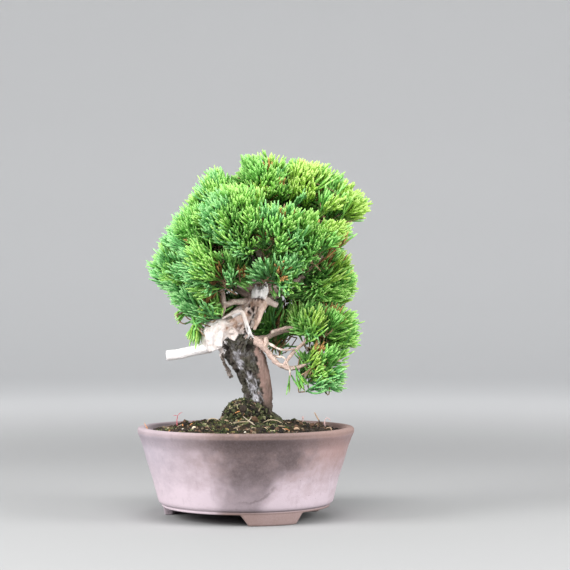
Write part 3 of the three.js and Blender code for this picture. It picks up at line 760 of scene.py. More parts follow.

# Heights that the clay's colours follow, in metres: the bloom and the stain with its painted shade thin out
# between the first two, and the others are the edges of the lip, of the foot and of the painted shadow in
# the seam between foot and body
BLOOM_HEIGHTS = (0.010, 0.042)
STAIN_AND_SHADE_HEIGHTS = (0.012, 0.042)
LIP_EDGE = (0.0458, 0.0475)
FOOT_EDGE = (0.0066, 0.0082)
SEAM_SHADOW_LOW, SEAM_SHADOW_HIGH = (0.0071, 0.0075), (0.0078, 0.0083)


def clay_paint(looks):
    """Unglazed clay: pale bloom low down and at the left, where it is partly painted light of the left
    lamp, a dark stain from the lip down the middle that is partly painted shade, painted shade under
    the lip and in the seam over the foot, a drip mark, and a warm foot and lip."""
    paint = Paint("clay_unglazed", roughness=0.8, specular=0.25)
    broad = paint.noise(0.024, 4, 0.55)
    cloudy = paint.noise(0.008, 6, 0.66, (1, 1, 1.3))
    streaks = paint.noise(0.004, 5, 0.6, (1, 1, 0.22))
    fine = paint.noise(0.0012, 5, 0.7)
    across = paint.sum("SUBTRACT", paint.along("X"), float(POT_AXIS[0]))
    up, facing = paint.along("Z"), paint.along("Y")

    # The bloom: it thickens downwards, and covers the left, where its paler bluish coat is also painted
    # light of the left lamp
    low = paint.span(up, *BLOOM_HEIGHTS, 1.0, 0.12)
    low = paint.sum("ADD", low, paint.span(cloudy, 0.3, 0.7, -0.22, 0.22))
    left = paint.span(across, -0.056, -0.006, 0.9, 0.0)
    ruddy = paint.times(paint.span(across, 0.012, 0.05), paint.span(up, 0.02, 0.044),
                        paint.span(broad, 0.35, 0.6, 0.2, 0.8))

    # The stain, partly painted shade of the front middle and strongest on the front: wide under the lip,
    # narrow and further left low down
    middle = paint.span(up, *STAIN_AND_SHADE_HEIGHTS, 0.001, 0.0095)
    wide = paint.span(up, *STAIN_AND_SHADE_HEIGHTS, 0.017, 0.037)
    off = paint.sum("DIVIDE", paint.apart(across, middle), wide)
    off = paint.sum("ADD", off, paint.span(broad, 0.3, 0.7, -0.3, 0.3))
    stain_and_shade = paint.times(paint.span(off, 0.22, 1.0, 1.0, 0.0), paint.span(up, 0.006, 0.036, 0.62, 1.0),
                        paint.span(cloudy, 0.3, 0.62, 0.72, 1.0),
                        paint.span(facing, -0.02, 0.01, 0.92, 0.276))
    side = paint.apart(across, 0.008)
    # A dark band just under the lip: stain, and painted shade under the lip's overhang
    under_lip_stain_and_shade = paint.times(paint.span(up, 0.038, 0.0435), paint.span(up, 0.0458, 0.0478, 1.0, 0.0),
                            paint.span(side, 0.004, 0.055, 0.85, 0.28))

    # The lip, the foot, the lip's top darker toward the middle, painted shadow in the seam over the foot,
    # and specks
    lip = paint.times(paint.span(up, *LIP_EDGE), paint.span(across, -0.04, 0.01, 0.35, 0.85))
    foot = paint.times(paint.span(up, *FOOT_EDGE, 0.85, 0.0), paint.span(across, -0.02, -0.008))
    # The lip's top darker toward the middle
    darker_lip_middle = paint.times(paint.span(side, 0.006, 0.045, 0.5, 0.05), paint.span(up, 0.0462, 0.0478))
    # Painted shadow in the groove between the foot ring and the body
    seam_shadow = paint.times(paint.span(up, *SEAM_SHADOW_LOW), paint.span(up, *SEAM_SHADOW_HIGH, 1.0, 0.0),
                       paint.span(across, -0.022, -0.006, 0.08, 0.6))
    specks = paint.times(paint.span(paint.cells(0.0022), 0.08, 0.14, 0.6, 0.0),
                         paint.span(paint.noise(0.007, 3), 0.55, 0.64))
    paint.colour(paint.layers(
        looks.clay,
        (low, looks.bloom),
        (left, paint.mix(low, looks.left_bloom_and_light, looks.bloom)),
        (ruddy, looks.ruddy),
        *((share, looks.patina_and_shade) for share in (stain_and_shade, under_lip_stain_and_shade, paint.span(streaks, 0.55, 0.75, 0.0, 0.14))),
        (paint.sum("MAXIMUM", lip, foot), looks.rust),
        *((share, looks.patina_and_shade) for share in (darker_lip_middle, seam_shadow, drip_mark(paint, across, up, facing), specks)),
        (paint.span(fine, 0.35, 0.7, 0.0, 0.07), looks.bloom),
        (worn_spot(paint, to_metres(CHIP_PLACE), CHIP_SIZE), looks.rust),
    ))
    paint.bump(fine, 0.0002, 0.4)
    paint.bump(cloudy, 0.0006, 0.3)
    return paint.material


def drip_mark(paint, across, up, facing):
    """A thin dark line, the lower right edge of an oval, that a drying drip left on the front."""
    right = paint.sum("SUBTRACT", across, DRIP_MIDDLE[0] * MM)
    above = paint.sum("SUBTRACT", up, DRIP_MIDDLE[1] * MM)
    oval = [paint.sum("DIVIDE", off, half * MM) for off, half in zip((right, above), DRIP_HALF)]
    off_line = paint.sum("SUBTRACT", paint.distance(*oval), 1.0)
    wavy = paint.sum("ADD", off_line, paint.span(paint.noise(0.006, 4, 0.6), 0.3, 0.7, -0.07, 0.07))
    return paint.times(
        paint.span(paint.sum("ABSOLUTE", wavy), 0.01, 0.10, 0.42, 0.0),
        paint.span(right, -0.005, 0.002), paint.span(above, -0.005, -0.002, 1.0, 0.0),
        paint.span(paint.noise(0.003, 3), 0.4, 0.55, 0.35, 1.0), paint.span(facing, -0.01, 0.0, 1.0, 0.0))


def worn_spot(paint, place, size):
    """How much of a small worn spot covers a point."""
    parts = [paint.sum("SUBTRACT", paint.along(axis), float(at)) for axis, at in zip("XYZ", place)]
    return paint.span(paint.distance(*parts), size * 0.3, size, 0.7, 0.0)


class JUNIPER_OT_pot(Operator):
    """Turn the pot on its three feet"""

    bl_idname = "juniper.pot"
    bl_label = "Turn the pot"

    def execute(self, context):
        looks = context.scene.juniper_pot
        feet = [placed("pot_foot", mesh_of(pot_foot(bearing), "pot_foot")) for bearing in FOOT_BEARINGS]
        unions = [("BOOLEAN", {"operation": "UNION", "solver": "EXACT", "object": foot}) for foot in feet]
        body = mesh_of(turned(pot_profile(), POT_STEPS, POT_MESH), "pot_body")
        mesh = mesh_with_modifiers(body, "pot_clay", *unions)
        for foot in feet:
            bpy.data.objects.remove(foot)
        points = coordinates(mesh)
        wave = noise_at(points, 26, 1, 2) + 0.35 * noise_at(points, 7, 2, 2)
        keep = np.clip((points[:, 2] - 2) / 4, 0, 1)[:, None]
        out = unit(points * (1, 1, 0))
        set_coordinates(mesh, points + out * keep * (wave * looks.waviness / MM)[:, None])
        piece_from("pot_clay", mesh, [clay_paint(looks)], ["pot"])
        return {"FINISHED"}


# Soil

def soil_height(x, y):
    """The height of the soil's surface: a low dome with moss banked against the trunk."""
    x, y = np.asarray(x, float), np.asarray(y, float)
    distance = np.hypot(x, y) / SOIL_RADIUS
    dome = SOIL_EDGE_Z + (SOIL_CENTRE_Z - SOIL_EDGE_Z) * (1 - np.minimum(distance, 1) ** 2)
    across = np.hypot((x - BANK_MIDDLE[0]) / BANK_HALF[0], (y - BANK_MIDDLE[1]) / BANK_HALF[1])
    bank = BANK_MIDDLE[2] + BANK_HALF[2] * np.sqrt(np.clip(1 - across ** 2, 0, 1))
    bank = np.where(across < 1, bank, 0)
    return np.maximum(dome, bank)


def cushion_at(x, y):
    """How far the moss cushions lift the soil at a place, none at the trunk's foot."""
    turn = 2 * pi / CUSHION_SPACING
    across = np.sin(x * turn + np.sin(y * turn * 0.5))
    along = np.cos(y * turn - np.sin(x * turn * 0.6))
    start, full = CUSHION_CLEAR
    share_of = np.clip((np.hypot(x - TRUNK[0][0][0], y) - start) / (full - start), 0, 1)
    return (across + along) / 2 * CUSHION_HEIGHT * share_of ** 2 * (3 - 2 * share_of)


def soil_surface(x, y):
    """The height of the soil with its moss cushions and small lumps."""
    points = np.stack([x, y, np.zeros_like(x)], axis=1)
    edge = np.clip((SOIL_RADIUS - np.hypot(x, y)) / np.array([[6.5], [2.0]]), 0, 1)
    lumps = 0.45 * noise_at(points, 5, 3, 2) + 0.35 * noise_at(points, 1.9, 4, 2)
    return soil_height(x, y) - GRAIN_DEPTH + cushion_at(x, y) * edge[0] + lumps * edge[1]


def earth_paint(looks):
    paint = Paint("damp_earth", roughness=0.95, specular=0.1)
    grains = paint.cells(0.0013)
    patches = paint.noise(0.007, 5, 0.65)
    mixed = paint.mix(paint.span(patches, 0.4, 0.65), looks.earth, (0.04, 0.032, 0.016))
    mixed = paint.mix(paint.span(grains, 0.15, 0.6, 0.0, 0.5), mixed, (0.02, 0.014, 0.01))
    paint.colour(mixed)
    paint.bump(paint.sum("MULTIPLY", grains, -1.0), 0.0006, 0.8)
    return paint.material


class JUNIPER_OT_soil(Operator):
    """Fill the pot with soil"""

    bl_idname = "juniper.soil"
    bl_label = "Fill the pot with soil"

    def execute(self, context):
        looks = context.scene.juniper_soil
        wall = WALL + GAP
        inside = [(BODY_FOOT_RADIUS - wall - 3, SOIL_UNDERSIDE), (BODY_FOOT_RADIUS + 2 - wall, 17),
                  (BODY_FOOT_RADIUS + 5.3 - wall, 31), (RIM_RADIUS - wall - 2.6, POT_HEIGHT - 7.5)]
        top = [(SOIL_RADIUS, SOIL_EDGE_Z), (SOIL_AXIS_GAP, SOIL_EDGE_Z)]
        profile = [(SOIL_AXIS_GAP, SOIL_UNDERSIDE), *inside, *top]
        mesh = mesh_of(turned(profile, SOIL_STEPS, SOIL_MESH), "soil_earth")
        points = coordinates(mesh)
        upper = np.abs(points[:, 2] - SOIL_EDGE_Z) < 0.01
        points[upper, 2] = soil_surface(points[upper, 0], points[upper, 1])
        set_coordinates(mesh, points)
        piece_from("soil_earth", mesh, [earth_paint(looks)], ["soil"])
        return {"FINISHED"}


def pebbles(centres, radii, rng):
    """Rough grains at the given centres: icosahedra with their corners pushed about. Gives
    vertices, triangles and the number of triangles in each."""
    ball = bmesh.new()
    bmesh.ops.create_icosphere(ball, subdivisions=1, radius=1)
    corners = np.array([v.co for v in ball.verts])
    triangles = np.array([[v.index for v in f.verts] for f in ball.faces])
    ball.free()
    count = len(centres)
    shapes = corners[None] * rng.uniform(*GRAIN_DENTS, (count, len(corners), 1))
    shapes *= rng.uniform(*GRAIN_STRETCH, (count, 1, 3))
    turn = unit(rng.normal(size=(count, 4)))
    w, x, y, z = turn.T
    spin = np.stack([
        np.stack([1 - 2 * (y * y + z * z), 2 * (x * y - z * w), 2 * (x * z + y * w)], 1),
        np.stack([2 * (x * y + z * w), 1 - 2 * (x * x + z * z), 2 * (y * z - x * w)], 1),
        np.stack([2 * (x * z - y * w), 2 * (y * z + x * w), 1 - 2 * (x * x + y * y)], 1),
    ], 1)
    shapes = np.einsum("nij,nkj->nki", spin, shapes) * np.asarray(radii)[:, None, None]
    vertices = (shapes + np.asarray(centres)[:, None]).reshape(-1, 3)
    offsets = np.arange(count)[:, None, None] * len(corners)
    return vertices, (triangles[None] + offsets).reshape(-1, 3), len(triangles)


def scatter_on_soil(count, rng):
    """Even random places on the soil, outside the trunk, and on the steep bank of moss."""
    radius = (SOIL_RADIUS - EDGE_CLEAR) * np.sqrt(rng.uniform(0, 1, count * 2))
    turn = rng.uniform(0, 2 * pi, count * 2)
    x, y = radius * np.cos(turn), radius * np.sin(turn)
    bank = unit(rng.normal(size=(count // 3, 3)))
    x = np.concatenate([bank[:, 0] * BANK_HALF[0] + BANK_MIDDLE[0], x])
    y = np.concatenate([bank[:, 1] * BANK_HALF[1] + BANK_MIDDLE[1], y])
    clear = np.hypot(x - TRUNK[0][1][0], y) > TRUNK_CLEAR
    x, y = x[clear][:count], y[clear][:count]
    return np.stack([x, y, soil_surface(x, y)], axis=1)


# The grains: each hue, its share among the grains of the soil and among those of the bank
GRAINS = {
    "red_clay": ((0.095, 0.055, 0.035), 0.22, 0.06),
    "tan": ((0.19, 0.145, 0.095), 0.04, 0.05),
    "dark": ((0.034, 0.026, 0.02), 0.36, 0.26),
    "pumice": ((0.42, 0.38, 0.32), 0.01, 0.01),
    "charcoal": ((0.012, 0.01, 0.009), 0.30, 0.26),
    "mossy": ((0.06, 0.066, 0.03), 0.07, 0.27),
    "pale_mossy": ((0.19, 0.185, 0.10), 0, 0.09),
}
BANK_COARSER = 1.5  # the lumps on the bank, to the grains elsewhere
GRAIN_SPREAD = 0.35  # of their sizes
GRAIN_SUNK = (-0.6, 0.25)  # and how deep they lie, to their radius
GRAIN_DENTS = (0.72, 1.25)  # how far each corner of a grain is pushed in or out
GRAIN_STRETCH = (0.7, 1.2)
MOSS_HUES = {
    "dark": (0.015, 0.018, 0.010), "grey_green": (0.036, 0.042, 0.026), "green": (0.05, 0.064, 0.022),
    "pale_green": (0.12, 0.135, 0.06), "golden": (0.17, 0.15, 0.055), "straw": (0.36, 0.32, 0.19),
}
MOSS_PATCH = 11  # size of the patches of moss
MOSS_REACH = 34  # from the bank, where it thins out
MOSS_RIGHT = 22  # further right than this it is sparser
STRANDS_TO_SIZE = 9  # in a lump of moss, for each millimetre of its size
STRAND_RADII = (0.26, 0.4, 0.2)  # at the root, the middle and the tip


def paints_of(kind, hues, roughness=0.9, specular=0.15):
    return [Paint(f"{kind}_{name}", roughness, specular, hue).material for name, hue in hues.items()]


class JUNIPER_OT_granules(Operator):
    """Scatter the loose grains of the soil"""

    bl_idname = "juniper.granules"
    bl_label = "Scatter the grains"

    def execute(self, context):
        looks = context.scene.juniper_soil
        rng = np.random.default_rng(GRAIN_SEED)
        centres = scatter_on_soil(looks.granules, rng)
        radii = looks.granule_radius / MM * rng.lognormal(0, GRAIN_SPREAD, len(centres))
        on_bank = np.hypot(*(centres[:, :2] - BANK_MIDDLE[:2]).T) < BANK_HALF[0]
        radii *= np.where(on_bank, BANK_COARSER, 1)
        centres[:, 2] += radii * rng.uniform(*GRAIN_SUNK, len(centres))
        vertices, triangles, faces = pebbles(centres, radii, rng)
        hues, in_soil, in_bank = zip(*GRAINS.values())
        chosen, of_bank = (rng.choice(len(hues), len(centres), p=shares) for shares in (in_soil, in_bank))
        chosen = np.where(on_bank, of_bank, chosen)
        mesh = mesh_from("soil_grains", vertices, triangles, np.repeat(chosen, faces))
        paints = paints_of("grain", dict(zip(GRAINS, hues)))
        piece_from("soil_grains", mesh, paints, smooth=False)
        return {"FINISHED"}


class JUNIPER_OT_moss(Operator):
    """Plant the moss on the soil"""

    bl_idname = "juniper.moss"
    bl_label = "Plant the moss"

    def execute(self, context):
        looks = context.scene.juniper_soil
        rng = np.random.default_rng(MOSS_SEED)
        lumps = scatter_on_soil(looks.tufts * 2, rng)
        patch = noise_at(lumps, MOSS_PATCH, 9, 2)
        near = np.hypot(lumps[:, 0] - BANK_MIDDLE[0], lumps[:, 1] - BANK_MIDDLE[1])
        wanted = patch + 0.8 * np.clip(1 - near / MOSS_REACH, 0, 1) - 0.35 * (lumps[:, 0] > MOSS_RIGHT)
        order = np.argsort(-wanted)[:looks.tufts]
        stems, hues = [], []
        for (x, y, z), tint in zip(lumps[order], patch[order]):
            size = rng.uniform(0.7, 1.5)
            count = int(STRANDS_TO_SIZE * size)
            turn = rng.uniform(0, 2 * pi, count)
            lean = rng.uniform(0, 1, count) ** 0.6
            heading = np.stack([np.cos(turn) * lean, np.sin(turn) * lean, 1.15 - lean * 0.8], axis=1)
            base = np.array([x, y, z - 0.6]) + heading * rng.uniform(0, 0.4, (count, 1))
            base[:, :2] += rng.normal(0, size * 0.4, (count, 2))
            tip = base + unit(heading) * size * rng.uniform(0.7, 1.2, (count, 1))
            middle = (base + tip) / 2 + rng.normal(0, 0.12, (count, 3))
            stems.append(np.stack([base, middle, tip], axis=1))
            hue_of_lump = int(np.clip(rng.normal(1.6 + 2.6 * tint, 1.6), 0, len(MOSS_HUES) - 1))
            hues.append(np.full(count, hue_of_lump))
        paths = np.concatenate(stems)
        hues = np.concatenate(hues)
        radii = np.array(STRAND_RADII) * rng.uniform(0.65, 1.15, (len(paths), 1))
        vertices, triangles, faces = rods(paths, radii, sides=3)
        mesh = mesh_from("moss", vertices, triangles, np.repeat(hues, faces))
        piece_from("moss", mesh, paints_of("moss", MOSS_HUES), smooth=False)
        return {"FINISHED"}


# What lies or sprouts on the soil: its finish, its points over the soil as (x, y, height), its
# radii, and how flat it is
LITTER = {
    "seedling_stalk": ("pink", [(-38, 0, -1), (-38.2, 0, 2.6), (-37.8, 0, 5.2)], [0.32, 0.28, 0.24], 1),
    "seedling_leaf_left": ("pink", [(-37.8, 0, 5), (-39, -0.4, 6), (-40.2, -0.6, 6.2)], [0.2, 0.65, 0.2],
        0.3),
    "seedling_leaf_right": ("pink", [(-37.8, 0, 5), (-36.4, 0.3, 6), (-35.2, 0.4, 6.2)], [0.2, 0.65, 0.2],
        0.3),
    "leaf_scrap": ("orange", [(-52.4, -6, -0.6), (-54.2, -6.2, 2.6), (-55.8, -6.5, 5.6)], [0.4, 1.1, 0.4],
        0.25),
    "arched_root": ("straw", [(-22, -8, -0.4), (-20, -9, 1.8), (-17, -9.5, 2.4), (-14, -10, 1)],
        [0.3, 0.35, 0.3, 0.2], 1),
    "root_on_bank": ("straw", [(-9, -16, -0.2), (-4, -17.5, 0.9), (2, -18, 1.1), (7, -17.5, 0.3)],
        [0.25, 0.3, 0.3, 0.2], 1),
    "root_right": ("straw", [(9, -14, 0), (13, -15, 1.6), (18, -15.5, 1.2), (21, -16, 0)],
        [0.3, 0.35, 0.3, 0.2], 1),
    "bark_scrap_high": ("orange", [(-7.4, -12.6, 0.3), (-4.6, -13.6, 0.7), (-2, -14, 0.4)],
        [0.5, 1.1, 0.5], 0.35),
    "bark_scrap_low": ("orange", [(-6, -15.6, 0.4), (-3.4, -15.4, 0.9), (-1, -15.2, 0.7)], [0.4, 1, 0.6],
        0.35),
    "bark_scrap_left": ("tan", [(-12, -11, 0.2), (-11, -13.4, 0.8), (-9.6, -15, 0.5)], [0.4, 0.9, 0.4],
        0.4),
    "forked_twig": ("grey", [(5, -26, -0.3), (2.4, -25, 1.4), (0, -24, 3.2), (-1.4, -23.4, 5)],
        [0.3, 0.3, 0.26, 0.18], 1),
    "forked_twig_side": ("grey", [(1.6, -24.7, 2), (2.6, -24, 3.2), (3, -23.8, 4.2)], [0.26, 0.22, 0.16],
        1),
    "straw_bit": ("pale", [(14.5, -7, 0.6), (17, -7.6, 1.1), (19.4, -8, 0.7)], [0.4, 0.7, 0.3], 0.6),
    "dark_stick": ("dark", [(42.4, -2, -0.6), (40.4, -2, 3.4)], [0.5, 0.45], 1),
    "stick_tip": ("tan", [(40.4, -2, 3.4), (38, -2.2, 7.4)], [0.45, 0.35], 1),
    "pink_curl": ("pink_pale", [(44, -3, -0.3), (43.6, -3, 3.6), (45, -3.2, 6), (46.8, -3.4, 5.2)],
        [0.25, 0.3, 0.38, 0.25], 0.7),
    "tan_curl": ("tan", [(43.4, -16, -0.2), (44, -16.6, 1.8), (45.8, -17, 2.6), (47, -17.2, 1.4)],
        [0.3, 0.42, 0.42, 0.25], 0.5),
    "bud": ("pink_pale", [(31.6, 2, -0.4), (31.7, 2, 2.2), (31.7, 2, 3.8)], [0.25, 0.3, 0.7], 1),
    "stone_left": ("pale", [(-29, -20, 0), (-28, -20.4, 0.5), (-27, -20.6, 0.2)], [0.6, 1, 0.5], 0.8),
    "stone_right": ("tan", [(26, -27, 0.2), (27.4, -27.4, 0.6), (28.6, -27.6, 0.2)], [0.7, 1.2, 0.6],
        0.8),
}
LITTER_HUES = {
    "pink": (0.44, 0.10, 0.12), "pink_pale": (0.55, 0.38, 0.36), "orange": (0.56, 0.25, 0.10),
    "straw": (0.34, 0.27, 0.18), "pale": (0.60, 0.52, 0.38), "grey": (0.36, 0.30, 0.23),
    "tan": (0.36, 0.25, 0.17), "dark": (0.05, 0.038, 0.03),
}
STRAYS = 90  # short bits of old shoots and straw between the grains
STRAY_RADII = (0.16, 0.3, 0.14)
STRAY_HUES = ("orange", "straw", "straw", "straw", "grey", "tan", "tan", "tan", "dark", "dark")


class JUNIPER_OT_litter(Operator):
    """Drop the litter and the seedlings on the soil"""

    bl_idname = "juniper.litter"
    bl_label = "Drop the litter"

    def execute(self, context):
        names = list(LITTER_HUES)
        parts = []
        for hue_name, points, radii, flat in LITTER.values():
            points = np.array(points, float)
            points[:, 2] += soil_surface(points[:, 0], points[:, 1])
            limb = Limb("litter", points, radii)
            line, radii, _ = limb.samples(limb.length / 6)
            vertices, triangles, faces = rods(line[None], radii[None], 6, flat=flat)
            parts.append((vertices, triangles, np.full(faces, names.index(hue_name))))
        rng = np.random.default_rng(LITTER_SEED)
        middles = scatter_on_soil(STRAYS, rng)
        turn = rng.uniform(0, pi, len(middles))
        half = rng.uniform(0.7, 2.2, len(middles))[:, None] * np.stack([np.cos(turn), np.sin(turn)], axis=1)
        ends = [middles[:, :2] - half, middles[:, :2], middles[:, :2] + half]
        rise = rng.uniform(0.1, 0.9, (len(middles), 3))
        paths = np.stack([np.column_stack([e, soil_surface(e[:, 0], e[:, 1]) + rise[:, i]])
                          for i, e in enumerate(ends)], axis=1)
        vertices, triangles, faces = rods(paths, np.tile(STRAY_RADII, (len(middles), 1)), 4)
        kinds = rng.choice([names.index(name) for name in STRAY_HUES], len(middles))
        parts.append((vertices, triangles, np.repeat(kinds, faces)))
        piece_from("litter", mesh_from("litter", *joined(parts)), paints_of("litter", LITTER_HUES))
        return {"FINISHED"}


# Many small rods

def rods(paths, radii, sides=4, twist=0.0, tip=0.6, flat=1.0):
    """Closed rods along many short paths at once, as arrays. paths is (rods, rings, 3) and radii
    is (rods, rings). Gives vertices, triangles and the number of triangles in each rod, which
    run from its root to its tip."""
    count, rings, _ = paths.shape
    heading = unit(np.gradient(paths, axis=1))
    overall = unit(paths[:, -1] - paths[:, 0])
    aside = np.where(np.abs(overall[:, 2:3]) < 0.9, [[0.0, 0.0, 1.0]], [[1.0, 0.0, 0.0]])
    first = unit(np.cross(aside[:, None], heading))
    second = np.cross(heading, first) * flat
    corner = np.arange(sides) * 2 * pi / sides
    turn = (corner[None] + twist * np.arange(rings)[:, None])[None, :, :, None]
    spread = np.cos(turn) * first[:, :, None] + np.sin(turn) * second[:, :, None]
    ring_points = paths[:, :, None] + radii[:, :, None, None] * spread
    root = paths[:, :1] - heading[:, :1] * radii[:, :1, None] * tip
    end = paths[:, -1:] + heading[:, -1:] * radii[:, -1:, None] * tip
    vertices = np.concatenate([root, ring_points.reshape(count, rings * sides, 3), end], axis=1)
    faces = []
    here = np.arange(sides)
    following = (here + 1) % sides
    faces.append(np.stack([np.zeros(sides, int), 1 + following, 1 + here], axis=1))
    for ring in range(rings - 1):
        low, high = 1 + ring * sides, 1 + (ring + 1) * sides
        faces.append(np.stack([low + here, low + following, high + here], axis=1))
        faces.append(np.stack([low + following, high + following, high + here], axis=1))
    last = 1 + (rings - 1) * sides
    faces.append(np.stack([last + here, last + following, np.full(sides, 1 + rings * sides)], axis=1))
    faces = np.concatenate(faces)
    each = 2 + rings * sides
    triangles = (faces[None] + (np.arange(count) * each)[:, None, None]).reshape(-1, 3)
    return vertices.reshape(-1, 3), triangles, len(faces)


# Wood

def tube_mesh(limbs, spacing):
    """The given limbs as closed round tubes in one mesh, made from a curve with a round bevel."""
    curve = bpy.data.curves.new("limbs", "CURVE")
    curve.dimensions = "3D"
    curve.bevel_depth = MM
    curve.bevel_resolution = 6
    curve.use_fill_caps = True
    for limb in limbs:
        line, radii, _ = limb.samples(spacing)
        spline = curve.splines.new("POLY")
        spline.points.add(len(line) - 1)
        spline.points.foreach_set("co", np.column_stack([to_metres(line), np.ones(len(line))]).ravel())
        spline.points.foreach_set("radius", radii)
    return mesh_made_by(placed("limbs", curve))


# Extra forms of the trunk: the live vein, root spurs and cut stubs, as limbs
TRUNK_FORMS = {
    "live_vein": ([(11.4, -2, 52), (10.4, -3.4, 62), (10, -3.6, 72), (8, -4.6, 82), (5.2, -5.5, 91),
        (3.4, -4.5, 97)], [4.6, 4.2, 4.2, 4.4, 4.2, 3]),
    "left_rib": ([(0, -1, 52), (2.6, -3, 62), (1.4, -4, 73), (-4.4, -4.6, 85), (-10, -3.8, 95)],
        [4.2, 3.6, 3.8, 4.2, 4.4]),
    "back_rib": ([(6, 6, 52), (6, 4.5, 66), (3, 4.5, 80), (-5, 5, 92), (-8, 4, 102)],
        [5, 4.2, 4.4, 4.4, 3.4]),
    "shoulder": ([(-12, -4.5, 104.5), (-6.5, -5.5, 107), (-1, -4.2, 111), (3.5, -3.5, 116)],
        [3.4, 3.6, 3, 2.8]),
    "throat": ([(-3, -5, 99), (1, -5.5, 104.5), (3.5, -4.2, 110.5), (4.5, -3.2, 117)],
        [3.2, 2.8, 2.6, 2.6]),
    "crotch": ([(-1, -6.5, 93), (1.6, -7.2, 97), (4.5, -7, 98.5)], [3.2, 3.2, 3]),
}
ROOT_SPURS = [(20, 17, 3.2), (75, 15, 2.8), (140, 16, 3.4), (200, 15.5, 3), (285, 15, 3), (330, 17.5, 3.2)]
PALE_FORMS = {
    "cut_stub": ([(-6.2, -5, 101.8), (-7.6, -8.8, 102), (-8.3, -11, 102)], [2.2, 2, 1.5]),
    "short_stub": ([(10.8, -6.4, 119.5), (14, -7.2, 118), (17.6, -7.4, 116.4)], [1.9, 1.7, 1.6]),
    "knob_lump": ([(-18.6, -6, 105.4), (-21, -6.6, 102), (-21.4, -7, 97)], [2.2, 3, 2]),
    "knob_fold": ([(-13.5, -8.5, 104), (-14.8, -9.6, 99), (-14.2, -9, 94)], [1.5, 2.2, 1.3]),
    "snag_collar": ([(-2.6, -9.4, 113), (-5.2, -8.8, 112.4), (-7.6, -8, 110.6)], [1.3, 1.5, 1.2]),
    "elbow_stub": ([(10, -8.8, 93.4), (11.2, -9.6, 96.6), (10.6, -10, 99)], [1.6, 1.5, 1]),
}
BROKEN_EDGE = np.array([7.6, -6.8, 121.5])
SPLINTERS = [  # round the broken top: bearing, lean outwards, top
    (205, 0.7, 125.8), (240, 0.9, 127), (275, 0.8, 126), (305, 1.0, 127.6), (335, 1.2, 128.4),
    (20, 1.0, 128.8), (70, 0.8, 129.2), (125, 0.7, 128.4),
]
# The hollows are sunk into the trunk and painted dark as shade
HOLLOWS = [  # place, size and depth of the dark hollows in the trunk
    ((-10.9, -8.4, 92.4), 1.2, 2.6), ((-10, -8.6, 88), 1.1, 2.4), ((-7.6, -8, 83.6), 1.0, 2.2),
    ((-5, -7.6, 79.6), 0.9, 1.8), ((-1, -7.4, 73.5), 0.8, 1.4), ((5.6, -9.5, 86.4), 1.0, 1.6),
    ((1.6, -9.4, 93.6), 1.2, 2.4), ((0.4, -8, 103.2), 1.2, 2.2), ((2.6, -8.8, 79), 0.8, 1.2),
    ((4.2, -8, 114.4), 1.2, 2.4), ((1.4, -7, 116.8), 0.8, 1.8), ((7.6, -7.4, 128.8), 1.7, 3.2),
    ((4.9, -8.6, 110.6), 1.1, 2.6), ((1.8, -8.8, 112.6), 1.0, 2.4),
    ((3, -8.6, 107), 1.0, 2.4), ((2.4, -8, 98.4), 0.9, 1.8),
]
SILVER_PATCHES = [  # place and size of the smooth silvery patches in the bark
    ((3.8, -9, 72), 3.2), ((2.2, -9, 77.5), 2.4), ((-3.2, -9, 83.4), 2.6), ((-4.6, -9, 89.6), 2.2),
    ((5.8, -9, 66.5), 2.4),
]
# Heights on the trunk: the break is bare between the first two, the leader above it has smooth
# bark, a crack runs round under the broken top, and moss climbs the foot
BREAK_LOW, BREAK_HIGH = 101, 122
CRACK_Z = 119.8
MOSS_TOP = 61


def nearest_of(points, limbs):
    """For each point, the nearest place on the limbs' surfaces: which limb, how far along it,
    and the direction out from its centreline."""
    rows = []
    for i, limb in enumerate(limbs):
        line, radii, t = limb.samples(0.8)
        ways = unit(np.gradient(line, axis=0))
        rows.append(np.column_stack([line, ways, radii, t * limb.length, np.full(len(line), i)]))
    rows = np.concatenate(rows)
    places, ways = rows[:, :3], rows[:, 3:6]
    radii, along, which = rows[:, 6:].T
    tree = KDTree(len(places))
    for i, place in enumerate(places):
        tree.insert(place, i)
    tree.balance()
    best = np.zeros(len(points), int)
    for i, point in enumerate(points):
        found = tree.find_n(point, 24)
        best[i] = min(found, key=lambda entry: entry[2] - radii[entry[1]])[1]
    offset, way = points - places[best], ways[best]
    slide = np.sum(offset * way, axis=1)
    return which[best].astype(int), along[best] + slide, unit(offset - way * slide[:, None])


class Skin:
    """The surface of a mesh round limbs: each point's place, the way out of it, the limb that it
    is on, how far along that it lies and on which side."""

    def __init__(self, mesh, limbs):
        self.points, self.outward = coordinates(mesh), normals(mesh)
        self.x, self.y, self.z = self.points.T
        self.which, self.along, self.aside = nearest_of(self.points, limbs)
        self.names = np.array([limb.name for limb in limbs])[self.which]

    def on(self, *names):
        return np.isin(self.names, names)

    def noise(self, scale, seed, octaves=3):
        return noise_at(self.points, scale, seed, octaves)

    def grain(self, round_size, stretch, scale, seed, octaves=3):
        """Noise that is drawn out along a limb: fine round it and slow along it."""
        slide = self.along / stretch
        places = self.aside * round_size + np.stack([slide, slide * 0.3, -slide * 0.2], axis=1)
        return noise_at(places, scale, seed, octaves)

    def grooves(self, *grain):
        """The same with narrow grooves: 0 in the grooves and 1 between them."""
        return np.clip(np.abs(self.grain(*grain)) * 3.2, 0, 1)

    def near(self, place, stretch):
        return np.linalg.norm((self.points - place) / stretch, axis=1)


def clearance(points, places, radii):
    """How far points lie from the surface round the given places."""
    blocks = np.array_split(points, len(points) // 8000 + 1)
    found = [(np.linalg.norm(block[:, None] - places[None], axis=2) - radii).min(axis=1) for block in blocks]
    return np.concatenate(found)


